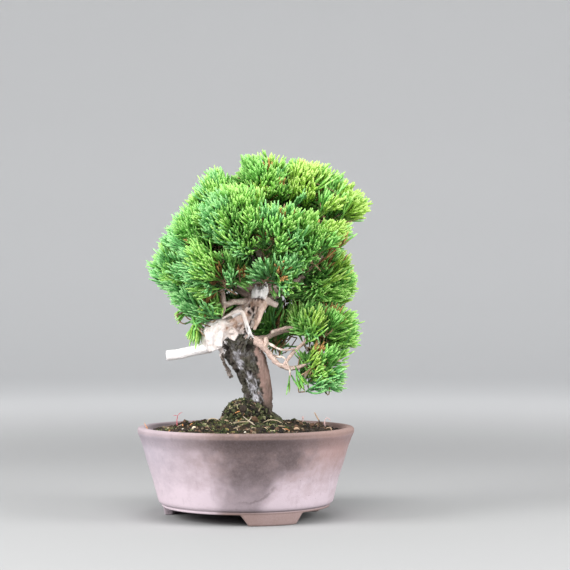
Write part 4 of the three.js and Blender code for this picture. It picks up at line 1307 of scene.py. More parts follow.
BARK_HUES = {
    "mossy_bark": (0.045, 0.044, 0.028), "dusty": (0.15, 0.125, 0.11),
    "dull_silver": (0.17, 0.16, 0.17), "bright_silver": (0.52, 0.51, 0.55),
    "vein_fine": (0.25, 0.165, 0.14), "vein_pale": (0.35, 0.25, 0.22),
    "vein_streak": (0.15, 0.10, 0.083), "vein_dark": (0.14, 0.095, 0.08),
    "grained": (0.64, 0.54, 0.50), "stained": (0.62, 0.50, 0.47),
    "tan_deep": (0.40, 0.255, 0.185), "tan_light": (0.66, 0.49, 0.41),
    "moss": (0.06, 0.07, 0.022),
}


def bark_paint(looks):
    """Bark, bleached wood, the live vein, and painted shade in the hollows, cracks and furrows, told apart
    by attributes.
    """
    paint = Paint("bark_and_bleached_wood", roughness=0.82, specular=0.28)
    hues = BARK_HUES
    patch = paint.noise(0.0034, 6, 0.7, (1, 1, 0.6))
    broad = paint.noise(0.0075, 4, 0.6, (1, 1, 0.7))
    fine = paint.noise(0.0007, 5, 0.75, (1, 1, 0.35))
    grain = paint.noise(0.0022, 5, 0.65, (1, 1, 0.22))
    silver = paint.mix(paint.span(patch, 0.36, 0.6), hues["dull_silver"], hues["bright_silver"])
    tan = paint.mix(paint.span(patch, 0.42, 0.6), hues["tan_deep"], hues["tan_light"])
    bark = paint.layers(
        looks.bark,
        (paint.span(broad, 0.40, 0.60), hues["mossy_bark"]),
        (paint.span(patch, 0.52, 0.64, 0.0, 0.6), looks.silver),
        (paint.attribute("silver"), silver),
        (paint.span(fine, 0.45, 0.75, 0.0, 0.4), hues["dusty"]),
    )
    vein = paint.layers(
        looks.vein,
        (paint.span(fine, 0.35, 0.7), hues["vein_fine"]),
        (paint.span(patch, 0.46, 0.68, 0.0, 0.7), hues["vein_pale"]),
        (paint.span(grain, 0.46, 0.66, 0.0, 0.75), hues["vein_streak"]),
        (paint.span(broad, 0.54, 0.70, 0.0, 0.6), hues["vein_dark"]),
    )
    bare = paint.layers(
        looks.bleached,
        (paint.span(fine, 0.55, 0.85, 0.0, 0.3), hues["grained"]),
        (paint.span(patch, 0.60, 0.76, 0.0, 0.4), hues["stained"]),
        (paint.attribute("tan"), tan),
    )
    paint.colour(paint.layers(
        bark,
        (paint.attribute("vein"), vein),
        (paint.attribute("bleached"), bare),
        # Painted shade in the furrows, splits and cracks, darkest where the grooves are least filled
        (paint.span(paint.attribute("groove"), 0.0, 0.7, 0.95, 0.0), looks.hollow),
        (paint.attribute("hollow"), looks.hollow),
        (paint.attribute("mossy"), hues["moss"]),
    ))
    paint.bump(fine, 0.00035, 0.8)
    return paint.material


def heading_of(bearing):
    return np.array([cos(radians(bearing)), sin(radians(bearing)), 0])


def trunk_parts():
    """The limbs that the trunk is joined from: the live ones with the root spurs, and the dead
    wood with its stubs and splinters."""
    trunk, dead, _, _ = PLAN
    live = [trunk] + [Limb(name, *shape) for name, shape in TRUNK_FORMS.items()]
    foot = (TRUNK[0][0][0], 0, GROUND_Z)
    for i, (bearing, reach, radius) in enumerate(ROOT_SPURS):
        spur = [heading_of(bearing) * part * reach + UP * rise + foot
                for part, rise in ((0.3, 7), (0.62, 1.5), (1, -2.2))]
        live.append(Limb(f"root_spur_{i + 1}", spur, [radius, radius, radius * 0.55]))
    bare = dead + [Limb(name, *shape) for name, shape in PALE_FORMS.items()]
    for i, (bearing, lean, top) in enumerate(SPLINTERS):
        away = heading_of(bearing)
        base = BROKEN_EDGE + away * 2.6
        tip = np.array([*BROKEN_EDGE[:2], top]) + away * (3 + lean)
        bare.append(Limb(f"splinter_{i + 1}", [base, (base + tip) / 2 + away * 0.7, tip], [1.4, 1.2, 0.5]))
    return live, bare


def wood_relief(skin, dead, depth):
    """The relief of the wood, and how far its grooves are filled in bark and in dead wood, which sets how
    much painted shade lies in them.
    """
    # Bark: furrows along the grain, plates between them, and gnarled swellings
    furrow = skin.grooves(7.5, 4, 2.1, 5)
    plates = skin.grooves(7.5, 1.9, 3.0, 6)
    fibre = skin.grain(8, 6, 0.7, 7)
    gnarl = skin.noise(6, 8)
    bark = gnarl + (furrow - 1) * depth + (plates - 1) * depth * 0.55 + fibre * 0.26
    bark *= np.where(skin.on("trunk") & (skin.z > BREAK_HIGH), 0.35, 1.0)

    # Dead wood: lumps, and fine splits along the grain
    split = skin.grooves(6, 16, 1.6, 9, 2)
    streak = skin.grain(6, 14, 0.9, 10)
    bare = gnarl * 0.6 + streak * 0.2 + (split - 1) * 0.18
    bare = np.where(skin.on("thin_snag", "bark_strip", "dead_branch"), bare * 0.4, bare)
    ragged = np.char.startswith(skin.names, "splinter") | skin.on("broken_top")
    bare = np.where(ragged, gnarl * 0.4 + (split - 1) * 0.45 + streak * 0.3, bare)
    bark_unshaded = np.minimum(furrow, 0.3 + plates * 0.7) + fibre * 0.25
    bare_unshaded = np.where(ragged, 0.6 + split * 0.4, 0.66 + split * 0.3)
    return np.where(dead, bare, bark), bark_unshaded, bare_unshaded


def bleaching(skin, bare, dead, throat):
    """How bleached the wood is, with an uneven edge into the bark, and how tan, with tan as painted shade on
    the knob's right side.
    """
    lines = [limb.samples(1.0) for limb in bare if limb.name not in ("bark_strip", "hanging_snag")]
    places, radii = (np.concatenate(part) for part in list(zip(*lines))[:2])
    edge = skin.noise(2.2, 11) * 1.8 + skin.noise(0.9, 12, 2) * 0.8
    bleached = np.clip((0.9 - clearance(skin.points, places, radii) + edge) / 0.45, 0, 1)
    bleached = np.where(dead, np.maximum(bleached, 0.97), bleached)
    bleached = np.where(throat, np.maximum(bleached, 0.9), bleached)
    bleached = np.select([skin.on("bark_strip"), skin.on("hanging_snag")], [0.2, 0.95], bleached)
    knob = skin.on("bleached_knob", "knob_lump", "knob_fold")
    # Mottled tan over the knob's right side, painted shade there
    knob_right_shade = np.clip((skin.x + 15.5) / 5, 0, 1) * (skin.z > 96) * skin.on("bleached_knob")
    tan = np.select(
        [skin.on("hanging_snag"), skin.on("short_stub"), skin.on("bark_strip"), skin.on("thin_snag"),
         skin.on("elbow_stub"), skin.on("cut_stub"), skin.on("broken_top") & (skin.z < 120), throat],
        [0.9, 0.7, 0.8, np.clip((skin.z - 104) / 12, 0.05, 0.5),
         0.85, 0.45, 0.9, np.clip(0.75 + skin.noise(4, 18, 2) * 0.8, 0.3, 1)], 0.0)
    for mottled in (
        knob_right_shade * np.clip(0.55 + skin.noise(3, 19, 2), 0, 0.9),
        dead * np.clip(skin.noise(3.4, 16, 2) - 0.35, 0, 0.4),
        knob * np.clip(0.22 + skin.noise(2.4, 23) * 0.4, 0.05, 0.5),
    ):
        tan = np.maximum(tan, mottled)
    return bleached, tan


def live_bark(skin):
    """Where the bark is smooth: in the live vein up the right side and above the break, and in
    silvery patches."""
    line, _, _ = Limb("vein", *TRUNK_FORMS["live_vein"]).samples(1.0)
    apart = clearance(skin.points, line, np.zeros(len(line)))
    vein = np.clip((6.8 - apart + skin.noise(2.6, 13) * 1.8) / 1.2, 0, 1)
    wavy = skin.noise(4.5, 24) * 3
    vein *= np.clip((skin.x - (9 - (skin.z - 60) * 0.12) + wavy) / 1.6 + 0.5, 0, 1)
    vein *= np.clip((skin.z - 57) / 9, 0.25, 1)
    upper = np.clip((skin.z - 103) / 4, 0, 1) * (skin.x > -14)
    vein = np.maximum(vein, upper * np.clip(0.75 + skin.noise(3.2, 14) * 1.4, 0, 1))
    silver = np.zeros(len(skin.points))
    mottle = skin.grain(5, 2.2, 1.3, 20)
    for place, size in SILVER_PATCHES:
        inside = size - skin.near(place, (1, 2, 1.5)) - mottle * 2.2
        silver = np.maximum(silver, np.clip(inside / 2.0, 0, 0.95))
    return vein, silver


def hollows(skin):
    """The hollows and the crack under the broken top: how far they are sunk, and how dark they are painted
    as shade.
    """
    front = skin.outward[:, 1] < 0.2
    tear = skin.noise(1.6, 17, 2)
    sunk, dark = np.zeros(len(tear)), np.zeros(len(tear))
    for place, size, sink in HOLLOWS:
        apart = skin.near(place, (1, 4, 1.6)) + tear * 0.5
        amount = np.exp(-(apart / size) ** 2) * front
        sunk += amount * sink
        dark = np.maximum(dark, np.clip(amount * 1.7 - 0.2, 0, 1))
    crack = np.exp(-((skin.z - CRACK_Z - tear * 1.4) / 0.75) ** 2) * front
    crack *= skin.on("broken_top", "throat", "shoulder")
    return sunk + crack * 1.6, np.maximum(dark, crack * 0.95)


class JUNIPER_OT_trunk(Operator):
    """Grow the trunk with its bark, the bleached break and the dead wood"""

    bl_idname = "juniper.trunk"
    bl_label = "Grow the trunk"

    def execute(self, context):
        looks = context.scene.juniper_wood
        live, bare = trunk_parts()
        remesh = {"mode": "VOXEL", "voxel_size": looks.grain, "use_smooth_shade": True}
        mesh = mesh_with_modifiers(tube_mesh(live + bare, 1.0), "trunk_wood", ("REMESH", remesh))
        skin = Skin(mesh, live + bare)
        dead = skin.on(*(limb.name for limb in bare if limb.name != "bark_strip"))
        throat = skin.on("throat", "shoulder", "trunk") & (skin.z > BREAK_LOW) & (skin.z < BREAK_HIGH)
        relief, bark_unshaded, bare_unshaded = wood_relief(skin, dead, looks.furrow / MM)
        bleached, tan = bleaching(skin, bare, dead, throat)
        vein, silver = live_bark(skin)
        sunk, hollow = hollows(skin)
        mossy = np.clip((MOSS_TOP - skin.z) / 6 + skin.noise(2.2, 15, 2) * 1.2 - 0.45, 0, 1)

        relief = relief * (1 - vein * 0.85) * (1 - silver * 0.5) - sunk
        keep = np.clip((skin.z - GROUND_Z + 3) / 3, 0, 1)
        set_coordinates(mesh, skin.points + skin.outward * (relief * keep)[:, None])
        # How far each point is clear of the painted shade in the grooves: nearly clear in the smooth vein,
        # less shaded in the throat and the silver patches
        groove = bark_unshaded * (1 - vein) + (bark_unshaded * 0.12 + 0.85) * vein
        groove = np.where(throat, groove * 0.7 + 0.25, groove)
        groove = np.maximum(np.where(dead, bare_unshaded, groove), silver * 0.45)
        for name, values in {
            "groove": groove, "bleached": bleached, "tan": tan, "hollow": hollow, "vein": vein,
            "silver": silver, "mossy": mossy * 0.8,
        }.items():
            set_attribute(mesh, name, values)
        piece_from("trunk_wood", mesh, [bark_paint(looks)], ["trunk", *DEAD_LIMBS])
        return {"FINISHED"}


# Twigs that show on the bare wood, as points and radii
BARE_TWIGS = {
    "left_fork_stub": ([(-11.8, -5.2, 117.2), (-12.2, -6, 113.5), (-12.8, -6.4, 110)], [1.2, 0.9, 0.45]),
    "thin_branch": ([(8, -8.4, 97), (12.5, -9, 95.6), (17, -9.6, 93), (21.5, -9.4, 92), (27, -8.8, 92.6)],
        [1.1, 0.8, 0.65, 0.5, 0.35]),
    "low_twig": ([(13.6, -4.5, 89.2), (17, -7.5, 88.4), (21, -9, 87.6), (24, -9.6, 81), (24.4, -9.6, 77)],
        [0.75, 0.6, 0.5, 0.42, 0.36]),
    "inner_twig": ([(14, -4, 101.6), (18.6, -5, 103.2), (24, -5.5, 104.4), (28.5, -5.4, 103.4)],
        [1.2, 0.95, 0.8, 0.6]),
    "left_inner_twig": ([(-15.4, -6, 127.8), (-18.4, -6.6, 131), (-22, -8, 133.4)], [0.9, 0.7, 0.5]),
}


def twig_paint(name, colour, ridge):
    """Fine brown bark, darker in its grain and paler in patches."""
    paint = Paint(name, roughness=0.85, specular=0.2)
    fine = paint.noise(0.0009, 5, 0.7)
    broad = paint.noise(0.006, 4, 0.6)
    dark = [part * 0.55 for part in colour]
    pale = [min(1, part * 1.7 + 0.05) for part in colour]
    coats = (paint.span(fine, 0.35, 0.7), colour), (paint.span(broad, 0.5, 0.72), pale)
    paint.colour(paint.layers(dark, *coats))
    paint.bump(fine, ridge, 0.8)
    return paint.material


class JUNIPER_OT_boughs(Operator):
    """Grow the boughs that carry the foliage"""

    bl_idname = "juniper.boughs"
    bl_label = "Grow the boughs"

    def execute(self, context):
        looks = context.scene.juniper_wood
        _, _, boughs, _ = PLAN
        limbs = list(boughs.values()) + [Limb(name, *shape) for name, shape in BARE_TWIGS.items()]
        mesh = tube_mesh(limbs, 0.75)
        skin = Skin(mesh, limbs)
        radius = np.array([limb.radii.mean() for limb in limbs])[skin.which]
        knots, flakes = skin.noise(3.2, 21), skin.grain(3, 3, 1.0, 22, 2)
        relief = (knots * 0.34 + flakes * 0.18) * np.clip(radius, 0.4, 2.2)
        set_coordinates(mesh, skin.points + skin.outward * relief[:, None])
        piece_from("bough_bark", mesh, [twig_paint("young_bark", looks.young, 0.0004)], list(boughs))
        return {"FINISHED"}


# Foliage

# The darkest kind of spray is painted shade, given to hidden sprays and to those inside a mass
SHOOT_HUES = {  # for each kind of spray: its tips, the shoots and their roots
    "fresh": ((0.34, 0.58, 0.15), (0.19, 0.43, 0.07), (0.09, 0.24, 0.035)),
    "golden": ((0.40, 0.58, 0.14), (0.24, 0.43, 0.055), (0.11, 0.22, 0.03)),
    "green": ((0.28, 0.56, 0.15), (0.15, 0.40, 0.075), (0.07, 0.22, 0.04)),
    "mint": ((0.26, 0.53, 0.20), (0.135, 0.38, 0.115), (0.06, 0.20, 0.055)),
    "deep": ((0.21, 0.43, 0.10), (0.11, 0.30, 0.055), (0.05, 0.16, 0.03)),
    "old": ((0.42, 0.24, 0.08), (0.33, 0.175, 0.06), (0.16, 0.08, 0.03)),
}
HUE_NAMES = list(SHOOT_HUES)
UNDERSIDE = -0.3  # facing away from the light by more than this, a mass is open
# The sprays in the hollows between tufts lean to darker kinds, as painted shade
TUFT_SIZE = 11.0  # of the tufts that stand out of a mass, with darker hollows between them
TONE_SIZE = 17.0  # of the patches that are alike in hue
STRAY_CHANCE = 0.16  # of a spray that stands out further than its neighbours
SHADED_MASSES = ("inner_low",)
BROWN_SPOTS = [  # old sprays gone brown: places in the front, across and up, and their size
    ((11, 173.5), 2.5), ((32, 171), 2.5), ((45, 166), 3.5), ((11, 142), 2.5), ((19, 133), 3),
    ((-18.5, 127), 3), ((33, 194), 1.8), ((42, 152), 3),
]
BROWN_CHANCE = 0.45
# Of the kinds of spray, in their order, leaning dark as painted shade: where a spray is hidden, and in the
# hollows between tufts
HIDDEN_KINDS = [0.0, 0.0, 0.36, 0.14, 0.46, 0.04]
HOLLOW_KINDS = [0.12, 0.0, 0.46, 0.18, 0.22, 0.02]
HOLLOW_TUFT = -0.25
HUE_TURN = 0.62  # how far to a side a spray turns yellow or blue
OPEN_MASSES = {"right_skirt": 0.5, "right_low": 0.7, "left_low": 0.6, "inner_low": 0.8}
SHOOTS_TO_SPRAY = 8.5
SHOOT_TURN = 2.4  # from one shoot to the next round the stalk
SHOOT_OPENING, SMALL_OPENING = (0.3, 0.7), (0.3, 0.55)  # angles off what a shoot grows on
SHOOT_LEAST, SMALL_LEAST = 2.8, 3.2
SMALL_STEP = 6.2  # of a shoot's length to each small one on it
SHOOT_STEP = 2.3  # between the rings of a shoot
STEM_RADII, LIMB_RADII, TWIG_RADII = (0.9, 0.6), (0.5, 0.34), (0.32, 0.36)

# Thin sprays that hang loose from a mass: where they begin, their direction, length and fullness
LOOSE_SPRAYS = {
    "left_low": [
        ((-25, -4, 113), (-0.25, -0.2, -1), 15, 0.6), ((-27, -7, 111), (-0.25, -0.2, -1), 12, 0.6),
        ((-24.5, -3, 108), (-0.25, 0, -1), 12, 0.4), ((-31, -5, 117), (-0.6, -0.2, -0.7), 9, 0.6),
        ((-19, -8, 120), (-0.5, -0.5, -0.8), 12, 0.5), ((-15, -7, 123), (-0.1, -0.5, -0.9), 11, 0.4),
    ],
    "right_skirt": [
        ((24, -9.6, 78), (-0.15, -0.1, -1), 8, 0.2), ((25, -9.4, 78), (0.6, -0.1, -0.9), 9, 0.2),
        ((27, -8, 83), (0.4, -0.4, -0.8), 11, 0.5), ((34, -7, 84), (0.9, -0.3, -0.5), 15, 0.6),
        ((31, -7, 84), (0.6, -0.3, 0.5), 12, 0.5),
    ],
}


def even_directions(count, turn):
    """Directions spread evenly round a sphere by the golden angle."""
    i = np.arange(count)
    z = 1 - (2 * i + 1) / count
    angle = i * pi * (3 - sqrt(5)) + turn
    flat = np.sqrt(1 - z * z)
    return np.stack([flat * np.cos(angle), flat * np.sin(angle), z], axis=1)


# One spray: where it begins, its direction, the side that it bends to, its length, its kind, and
# how full it is
Spray = namedtuple("Spray", "root heading lift size kind full")


def kind_of(place, tuft, tone, hidden, rng):
    """The kind of a spray: yellower at the top and right, bluer at the left, and dark as painted
    shade in the hollows between tufts and where it is hidden. The tone keeps neighbours alike."""
    for spot, size in BROWN_SPOTS:
        if place[1] < 0 and np.hypot(*(place[[0, 2]] - spot)) < size and rng.random() < BROWN_CHANCE:
            return "old"
    if hidden:
        return rng.choice(HUE_NAMES, p=HIDDEN_KINDS)
    if tuft < HOLLOW_TUFT:
        return rng.choice(HUE_NAMES, p=HOLLOW_KINDS)
    side = (place[0] - 8) / 60 + (place[2] - 165) / 90 + tone * 1.3 + rng.normal(0, 0.22)
    if side > HUE_TURN:
        return "golden"
    if side < -HUE_TURN:
        return "mint"
    return "fresh" if rng.random() < 0.6 else "green"


def over_a_gap(place):
    """Whether a place looks down on a gap between the pads from close by."""
    return any(place[2] > middle[2] - 1 and np.linalg.norm((place - middle) / np.array(half)) < 1.6
               for middle, half in CLEARINGS)


def sprays_of(mass, looks, rng):
    """The sprays of a mass: over its lit outside in tufts, fewer and darker, as painted shade, below,
    where it meets a neighbour and inside."""
    count = int(4 * pi * mass.width ** 2 * MASS_FLATNESS / (looks.spacing / MM) ** 2)
    outer = even_directions(count, rng.uniform(0, pi))
    outer = unit(outer + rng.normal(0, 0.09, outer.shape))
    reach, whole = mass.trimmed_reach(outer), mass.whole_reach(outer)
    border = mass.reach(outer)
    tufts = noise_at(mass.centre + outer * reach[:, None], TUFT_SIZE, 41, 2)
    tones = noise_at(mass.centre + outer * reach[:, None], TONE_SIZE, 43, 2)
    thin = OPEN_MASSES.get(mass.name, 1.0)
    found = []
    for direction, far, free, tuft, tone in zip(outer, reach, border / whole, tufts, tones):
        place = mass.centre + direction * far
        shaded = free < 0.9
        below = direction @ mass.light < UNDERSIDE
        hidden = shaded or below or over_a_gap(place) or mass.name in SHADED_MASSES
        if rng.random() > thin:
            continue
        if shaded and (rng.random() > 0.4 or far < 0.45 * mass.width):
            continue
        if below and rng.random() > 0.5:
            continue
        lean = 0.25 if below else 0.9
        heading = unit(direction + mass.light * lean + rng.normal(0, 0.24, 3))
        size = looks.spray / MM * rng.uniform(0.75, 1.3)
        stray = rng.random() < STRAY_CHANCE
        depth = rng.uniform(1.0, 1.08) if stray else np.clip(0.87 + 0.32 * tuft, 0.64, 0.99)
        tip = mass.centre + direction * far * depth
        full = 0.35 if stray else 0.6 if hidden else 1.0
        kind = kind_of(place, tuft, tone, hidden, rng)
        found.append(Spray(tip - heading * size, heading, mass.light, size, kind, full))
    inner = even_directions(int(24 * thin), rng.uniform(0, pi))
    for direction, far in zip(inner, mass.trimmed_reach(inner)):
        tip = mass.centre + direction * far * rng.uniform(0.5, 0.75)
        heading = unit(direction + mass.light * 0.6 + rng.normal(0, 0.25, 3))
        size = looks.spray / MM * rng.uniform(0.6, 0.85)
        # Inner sprays mostly take the darkest kind, as painted shade inside the mass
        kind = "old" if rng.random() < 0.12 else "deep"
        found.append(Spray(tip - heading * size, heading, mass.light, size, kind, 0.5))
    return found


def shoots_of(spray, rng):
    """The shoots of one spray as rows of root, tip and bulge: a stalk, shoots all round it that
    turn the way it goes, and short ones on those."""
    along = spray.heading
    across = unit(np.cross(along, rng.normal(size=3)))
    over = np.cross(along, across)
    size = spray.size
    sag = (along * (along @ spray.lift) - spray.lift) * size * 0.06
    rows = [(spray.root, spray.root + along * size, sag)]
    count = int(round(SHOOTS_TO_SPRAY * spray.full * rng.uniform(0.85, 1.2)))
    turn = rng.uniform(0, 2 * pi)
    for i in range(count):
        place = 0.06 + 0.72 * (i + rng.uniform(0.1, 0.9)) / count
        turn += SHOOT_TURN + rng.normal(0, 0.3)
        side = unit(across * cos(turn) + over * 0.55 * sin(turn))
        opened = rng.uniform(*SHOOT_OPENING)
        way = along * cos(opened) + side * sin(opened)
        later = unit(way * 0.52 + along * 0.48)
        reach = (1 - place) * size * rng.uniform(0.7, 1.15) + SHOOT_LEAST
        root = spray.root + along * size * place + sag * 4 * place * (1 - place)
        rows.append((root, root + later * reach, (way - later) * reach * 0.3))
        for j in range(int(reach / SMALL_STEP * spray.full + rng.random() * 0.9)):
            start = rng.uniform(0.1, 0.4) + 0.24 * j
            if start > 0.85:
                continue
            flip = 1 if (i + j) % 2 else -1
            aside = unit(np.cross(later, side) * flip + side * rng.normal(0, 0.5))
            opened = rng.uniform(*SMALL_OPENING)
            small = unit(later * cos(opened) + aside * sin(opened) + along * 0.2)
            base = root + later * reach * start + (way - later) * reach * 1.2 * start * (1 - start)
            far = max(SMALL_LEAST, reach * (1 - start) * rng.uniform(0.75, 1.15))
            rows.append((base, base + small * far, (small - along) * far * 0.08))
    return np.array(rows)


def kept_shoots(mass, rows, rng):
    """The shoots that keep to the mass's space, shortened where that is enough, and which of them
    fit. Some stand a little out of the crown's outline, and more stay short of it."""
    root, tip = rows[:, 0], rows[:, 1]
    root_fits = mass.holds(root, beyond=1.0, over=2.5)
    for _ in range(2):
        fits = mass.holds(tip, beyond=2.4, over=1.6) & root_fits
        tip = np.where(fits[:, None], tip, root + (tip - root) * 0.7)
    fits = mass.holds(tip, beyond=2.4, over=1.6) & root_fits
    slack = np.clip(rng.normal(-0.6, 1.5, len(rows)), -3, 2.6)
    fits &= open_to_growth(root * 0.12 + tip * 0.88, slack) & open_to_growth((root + tip) / 2, slack)
    return np.stack([root, tip, rows[:, 2]], axis=1)[fits], fits


def shoot_rods(rows, kinds, radius, rng):
    """The shoots as rods with the swell of their scale leaves, the long ones with more rings."""
    parts = []
    lengths = np.linalg.norm(rows[:, 1] - rows[:, 0], axis=1)
    rings_of = np.clip(np.round(lengths / SHOOT_STEP).astype(int) + 1, 3, 6)
    for rings in range(3, 7):
        chosen = rings_of == rings
        if not chosen.any():
            continue
        root, tip, bulge = rows[chosen].transpose(1, 0, 2)[:, :, None]
        t = np.linspace(0, 1, rings)[None, :, None] ** 0.75  # rings lie closer at the root
        paths = root + (tip - root) * t + bulge * 4 * t * (1 - t)
        swell = np.where(np.arange(rings) % 2, 1.1, 0.92)
        swell[0], swell[-1] = 0.75, 0.6
        radii = radius * swell[None] * rng.uniform(0.82, 1.15, (len(root), 1))
        vertices, triangles, faces = rods(paths, radii, 4, pi / 4, tip=1.2)
        # The faces at a shoot's root take its kind's darker root hue, painted shade at the shoot's base, and
        # those at its tip the tip hue
        end = 4 + 8 * (rings > 3)
        zones = np.full(faces, 1)
        zones[:end], zones[-end:] = 2, 0
        parts.append((vertices, triangles, (kinds[chosen][:, None] * 3 + zones[None]).ravel()))
    return parts


def bent(start, knee, end, steps):
    """Places along a smooth bend."""
    t = np.linspace(0, 1, steps)[:, None]
    return start * (1 - t) ** 2 + 2 * knee * t * (1 - t) + end * t ** 2


def twig_lines(mass, sprays, rng):
    """The twigs inside a mass: a stem, limbs from it through the mass, and one twig to each spray,
    each with its radii."""
    carrier = mass.carrier.at(1) if mass.carrier is not None else PLAN[0].at(1)
    heart = mass.centre - mass.light * mass.width * 0.12
    middle = (carrier + heart) / 2 + rng.normal(0, 0.8, 3) - UP * 0.6
    stem = bent(carrier, middle, heart, 6)
    lines, places = [(stem, STEM_RADII)], [heart]
    for direction in even_directions(13, rng.uniform(0, pi)):
        if direction @ mass.light < -0.75:
            continue
        far = mass.reach(direction[None])[0] * 0.66
        start = stem[int(rng.integers(2, 6))]
        end = mass.centre + direction * far + rng.normal(0, 0.8, 3)
        knee = (start + end) / 2 - mass.light * 1.6 + rng.normal(0, 0.9, 3)
        line = bent(start, knee, end, 7)
        lines.append((line, LIMB_RADII))
        places.extend(line[2:])
    places = np.array(places)
    for spray in sprays:
        apart = np.linalg.norm(places - spray.root, axis=1)
        ahead = np.maximum((places - spray.root) @ spray.heading, 0)
        nearest = places[int(np.argmin(apart + 2.5 * ahead))]
        knee = spray.root - spray.heading * np.linalg.norm(spray.root - nearest) * 0.45
        lines.append((bent(nearest, knee, spray.root + spray.heading * 1.2, 5), TWIG_RADII))
    return lines


class JUNIPER_OT_foliage(Operator):
    """Grow the twigs and the shoots of every mass of foliage"""

    bl_idname = "juniper.foliage"
    bl_label = "Grow the foliage"

    def execute(self, context):
        looks = context.scene.juniper_shoots
        masses = PLAN[3]
        paints = []
        for kind, hues in SHOOT_HUES.items():
            paints.extend(paints_of(f"leaf_{kind}", dict(zip(("tip", "shoot", "root"), hues)), 0.55, 0.3))
        twigs = []
        for group, names in MASSES.items():
            parts = []
            for mass in (mass for mass in masses if mass.name in names):
                rng = np.random.default_rng(MASS_SEED + MASS_SEED_STEP * masses.index(mass))
                sprays = sprays_of(mass, looks, rng)
                found = [shoots_of(spray, rng) for spray in sprays]
                kinds = [HUE_NAMES.index(spray.kind) for spray in sprays]
                kinds = np.repeat(kinds, [len(rows) for rows in found])
                rows, fits = kept_shoots(mass, np.concatenate(found), rng)
                kinds = kinds[fits]
                for start, way, size, full in LOOSE_SPRAYS.get(mass.name, ()):
                    spray = Spray(np.array(start, float), unit(way), UP, size, "fresh", full)
                    loose = shoots_of(spray, rng)
                    rows = np.concatenate([rows, loose])
                    kinds = np.append(kinds, rng.integers(0, 3, len(loose)))
                parts.extend(shoot_rods(rows, kinds, looks.thickness / MM / 2, rng))
                twigs.extend(twig_lines(mass, sprays, rng))
            name = f"shoots_{group}"
            replaced = [f"foliage_{name}" for name in names]
            piece_from(name, mesh_from(name, *joined(parts)), paints, replaced)
        self.grow_twigs(twigs, looks)
        return {"FINISHED"}

    def grow_twigs(self, lines, looks):
        """The twigs of all the masses as one piece."""
        parts = []
        for rings in sorted({len(line) for line, _ in lines}):
            paths, ends = zip(*(row for row in lines if len(row[0]) == rings))
            radii = np.linspace(*np.transpose(ends), rings, axis=1)
            vertices, triangles, _ = rods(np.array(paths), radii, 4)
            parts.append((vertices, triangles, np.zeros(len(triangles), int)))
        mesh = mesh_from("foliage_twigs", *joined(parts))
        piece_from("foliage_twigs", mesh, [twig_paint("twig_bark", looks.twig, 0.0002)])


# Stage

CAMERA_PLACE = (0.0, -VIEW_DISTANCE, VIEW_HEIGHT)
CAMERA_TARGET = (21.7, 0.0, 127.9)
CAMERA_LENS = 99.35
CAMERA_SENSOR = 36.0
# The floor's section, in metres: flat, then rising to a backdrop all round
SWEEP = [(0, 0), (0.7, 0), (1.5, 0), (2.0, 0), (2.3, 0.03), (2.6, 0.13), (2.85, 0.32), (3.02, 0.6),
         (3.1, 1.0), (3.12, 2.6)]
# The floor's colour passes into the paler painted light of the sweep far behind
FLOOR_FADE = (0.35, 1.3)  # where its colour passes into the backdrop's
LAMPS = {  # place, size and power
    "lamp_left": ((-0.85, -0.4, 0.5), 0.5, 16.0),
    "lamp_right": ((0.85, -0.4, 0.42), 0.45, 11.5),
    "lamp_top": ((0.0, -0.3, 1.05), 0.45, 8.0),
    "lamp_front": ((-0.1, -1.3, 0.6), 0.8, 9.0),
}
LAMPS_AIM = 0.11
SKY_HUE = (0.9, 0.92, 0.95, 1)
SKY_STRENGTH = 0.82


def aim(thing, place, target):
    heading = Vector(target) - Vector(place)
    thing.location = place
    thing.rotation_euler = heading.to_track_quat("-Z", "Y").to_euler()


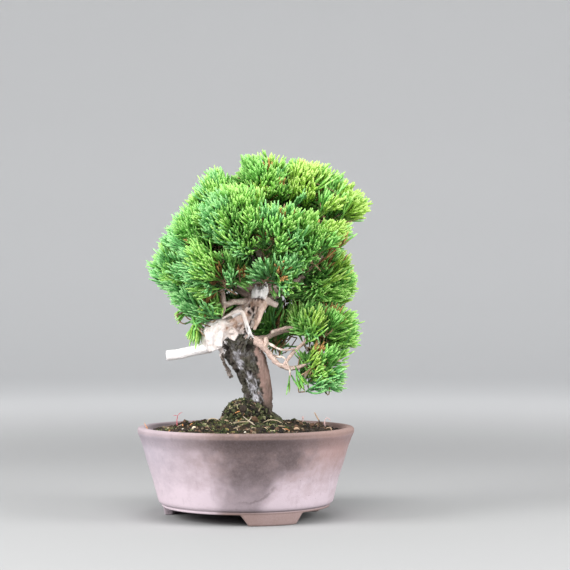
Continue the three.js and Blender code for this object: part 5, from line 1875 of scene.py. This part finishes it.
class JUNIPER_OT_stage(Operator):
    """Set the floor, the lamps and the camera"""

    bl_idname = "juniper.stage"
    bl_label = "Set the stage"

    def execute(self, context):
        looks = context.scene.juniper_stage
        scene = context.scene
        ground = bmesh.new()
        rise = [ground.verts.new((r, 0, z)) for r, z in SWEEP]
        for first, second in zip(rise, rise[1:]):
            ground.edges.new((first, second))
        bmesh.ops.spin(ground, geom=ground.verts[:] + ground.edges[:], cent=(0, 0, 0), axis=(0, 0, 1),
                       angle=2 * pi, steps=96, use_merge=True)
        bmesh.ops.remove_doubles(ground, verts=ground.verts[:], dist=1e-5)
        bmesh.ops.recalc_face_normals(ground, faces=ground.faces[:])
        mesh = mesh_of(ground, "floor")
        mesh.polygons.foreach_set("use_smooth", np.full(len(mesh.polygons), True))
        paint = Paint("floor_paint", 0.9, 0.1)
        away = paint.distance(paint.along("X"), paint.along("Y"))
        paint.colour(paint.mix(paint.span(away, *FLOOR_FADE), looks.floor, looks.painted_light_backdrop))
        mesh.materials.append(paint.material)
        floor = placed("floor", mesh)
        for name, (place, size, power) in LAMPS.items():
            lamp = bpy.data.lights.new(name, "AREA")
            lamp.shape = "SQUARE"
            lamp.size = size
            lamp.energy = power * looks.strength
            aim(placed(name, lamp), place, (POT_AXIS[0], 0, LAMPS_AIM))
        world = bpy.data.worlds.new("studio")
        world.use_nodes = True
        sky = world.node_tree.nodes["Background"]
        sky.inputs["Color"].default_value = SKY_HUE
        sky.inputs["Strength"].default_value = SKY_STRENGTH
        scene.world = world
        camera = bpy.data.cameras.new("camera")
        camera.lens = CAMERA_LENS
        camera.sensor_width = CAMERA_SENSOR
        camera.clip_start = 0.01
        scene.camera = placed("camera", camera)
        aim(scene.camera, to_metres(CAMERA_PLACE), to_metres(CAMERA_TARGET))
        scene.view_settings.view_transform = "Standard"
        return {"FINISHED"}


class JUNIPER_PT_panel(Panel):
    bl_label = "Juniper bonsai"
    bl_space_type = "VIEW_3D"
    bl_region_type = "UI"
    bl_category = "Juniper"

    def draw(self, context):
        for group, operators in SECTIONS:
            box = self.layout.box()
            looks = getattr(context.scene, group)
            for name in looks.bl_rna.properties.keys():
                if name not in ("rna_type", "name"):
                    box.prop(looks, name)
            for operator in operators:
                box.operator(operator.bl_idname)


SECTIONS = (
    ("juniper_stage", (JUNIPER_OT_stage,)),
    ("juniper_pot", (JUNIPER_OT_pot,)),
    ("juniper_soil", (JUNIPER_OT_soil, JUNIPER_OT_granules, JUNIPER_OT_moss, JUNIPER_OT_litter)),
    ("juniper_wood", (JUNIPER_OT_trunk, JUNIPER_OT_boughs)),
    ("juniper_shoots", (JUNIPER_OT_foliage,)),
)
LOOKS = {
    "juniper_stage": StageLooks,
    "juniper_pot": PotLooks,
    "juniper_soil": SoilLooks,
    "juniper_wood": WoodLooks,
    "juniper_shoots": ShootLooks,
}
CLASSES = (
    *LOOKS.values(),
    *(operator for _, operators in SECTIONS for operator in operators),
    JUNIPER_PT_panel,
)


def register():
    for each in CLASSES:
        bpy.utils.register_class(each)
    for name, looks in LOOKS.items():
        setattr(bpy.types.Scene, name, PointerProperty(type=looks))


def unregister():
    for name in LOOKS:
        delattr(bpy.types.Scene, name)
    for each in reversed(CLASSES):
        bpy.utils.unregister_class(each)


def main():
    register()
    bpy.ops.juniper.stage()
    bpy.ops.juniper.pot()
    bpy.ops.juniper.soil()
    bpy.ops.juniper.granules()
    bpy.ops.juniper.moss()
    bpy.ops.juniper.litter()
    bpy.ops.juniper.trunk()
    bpy.ops.juniper.boughs()
    bpy.ops.juniper.foliage()


if __name__ == "__main__":
    main()
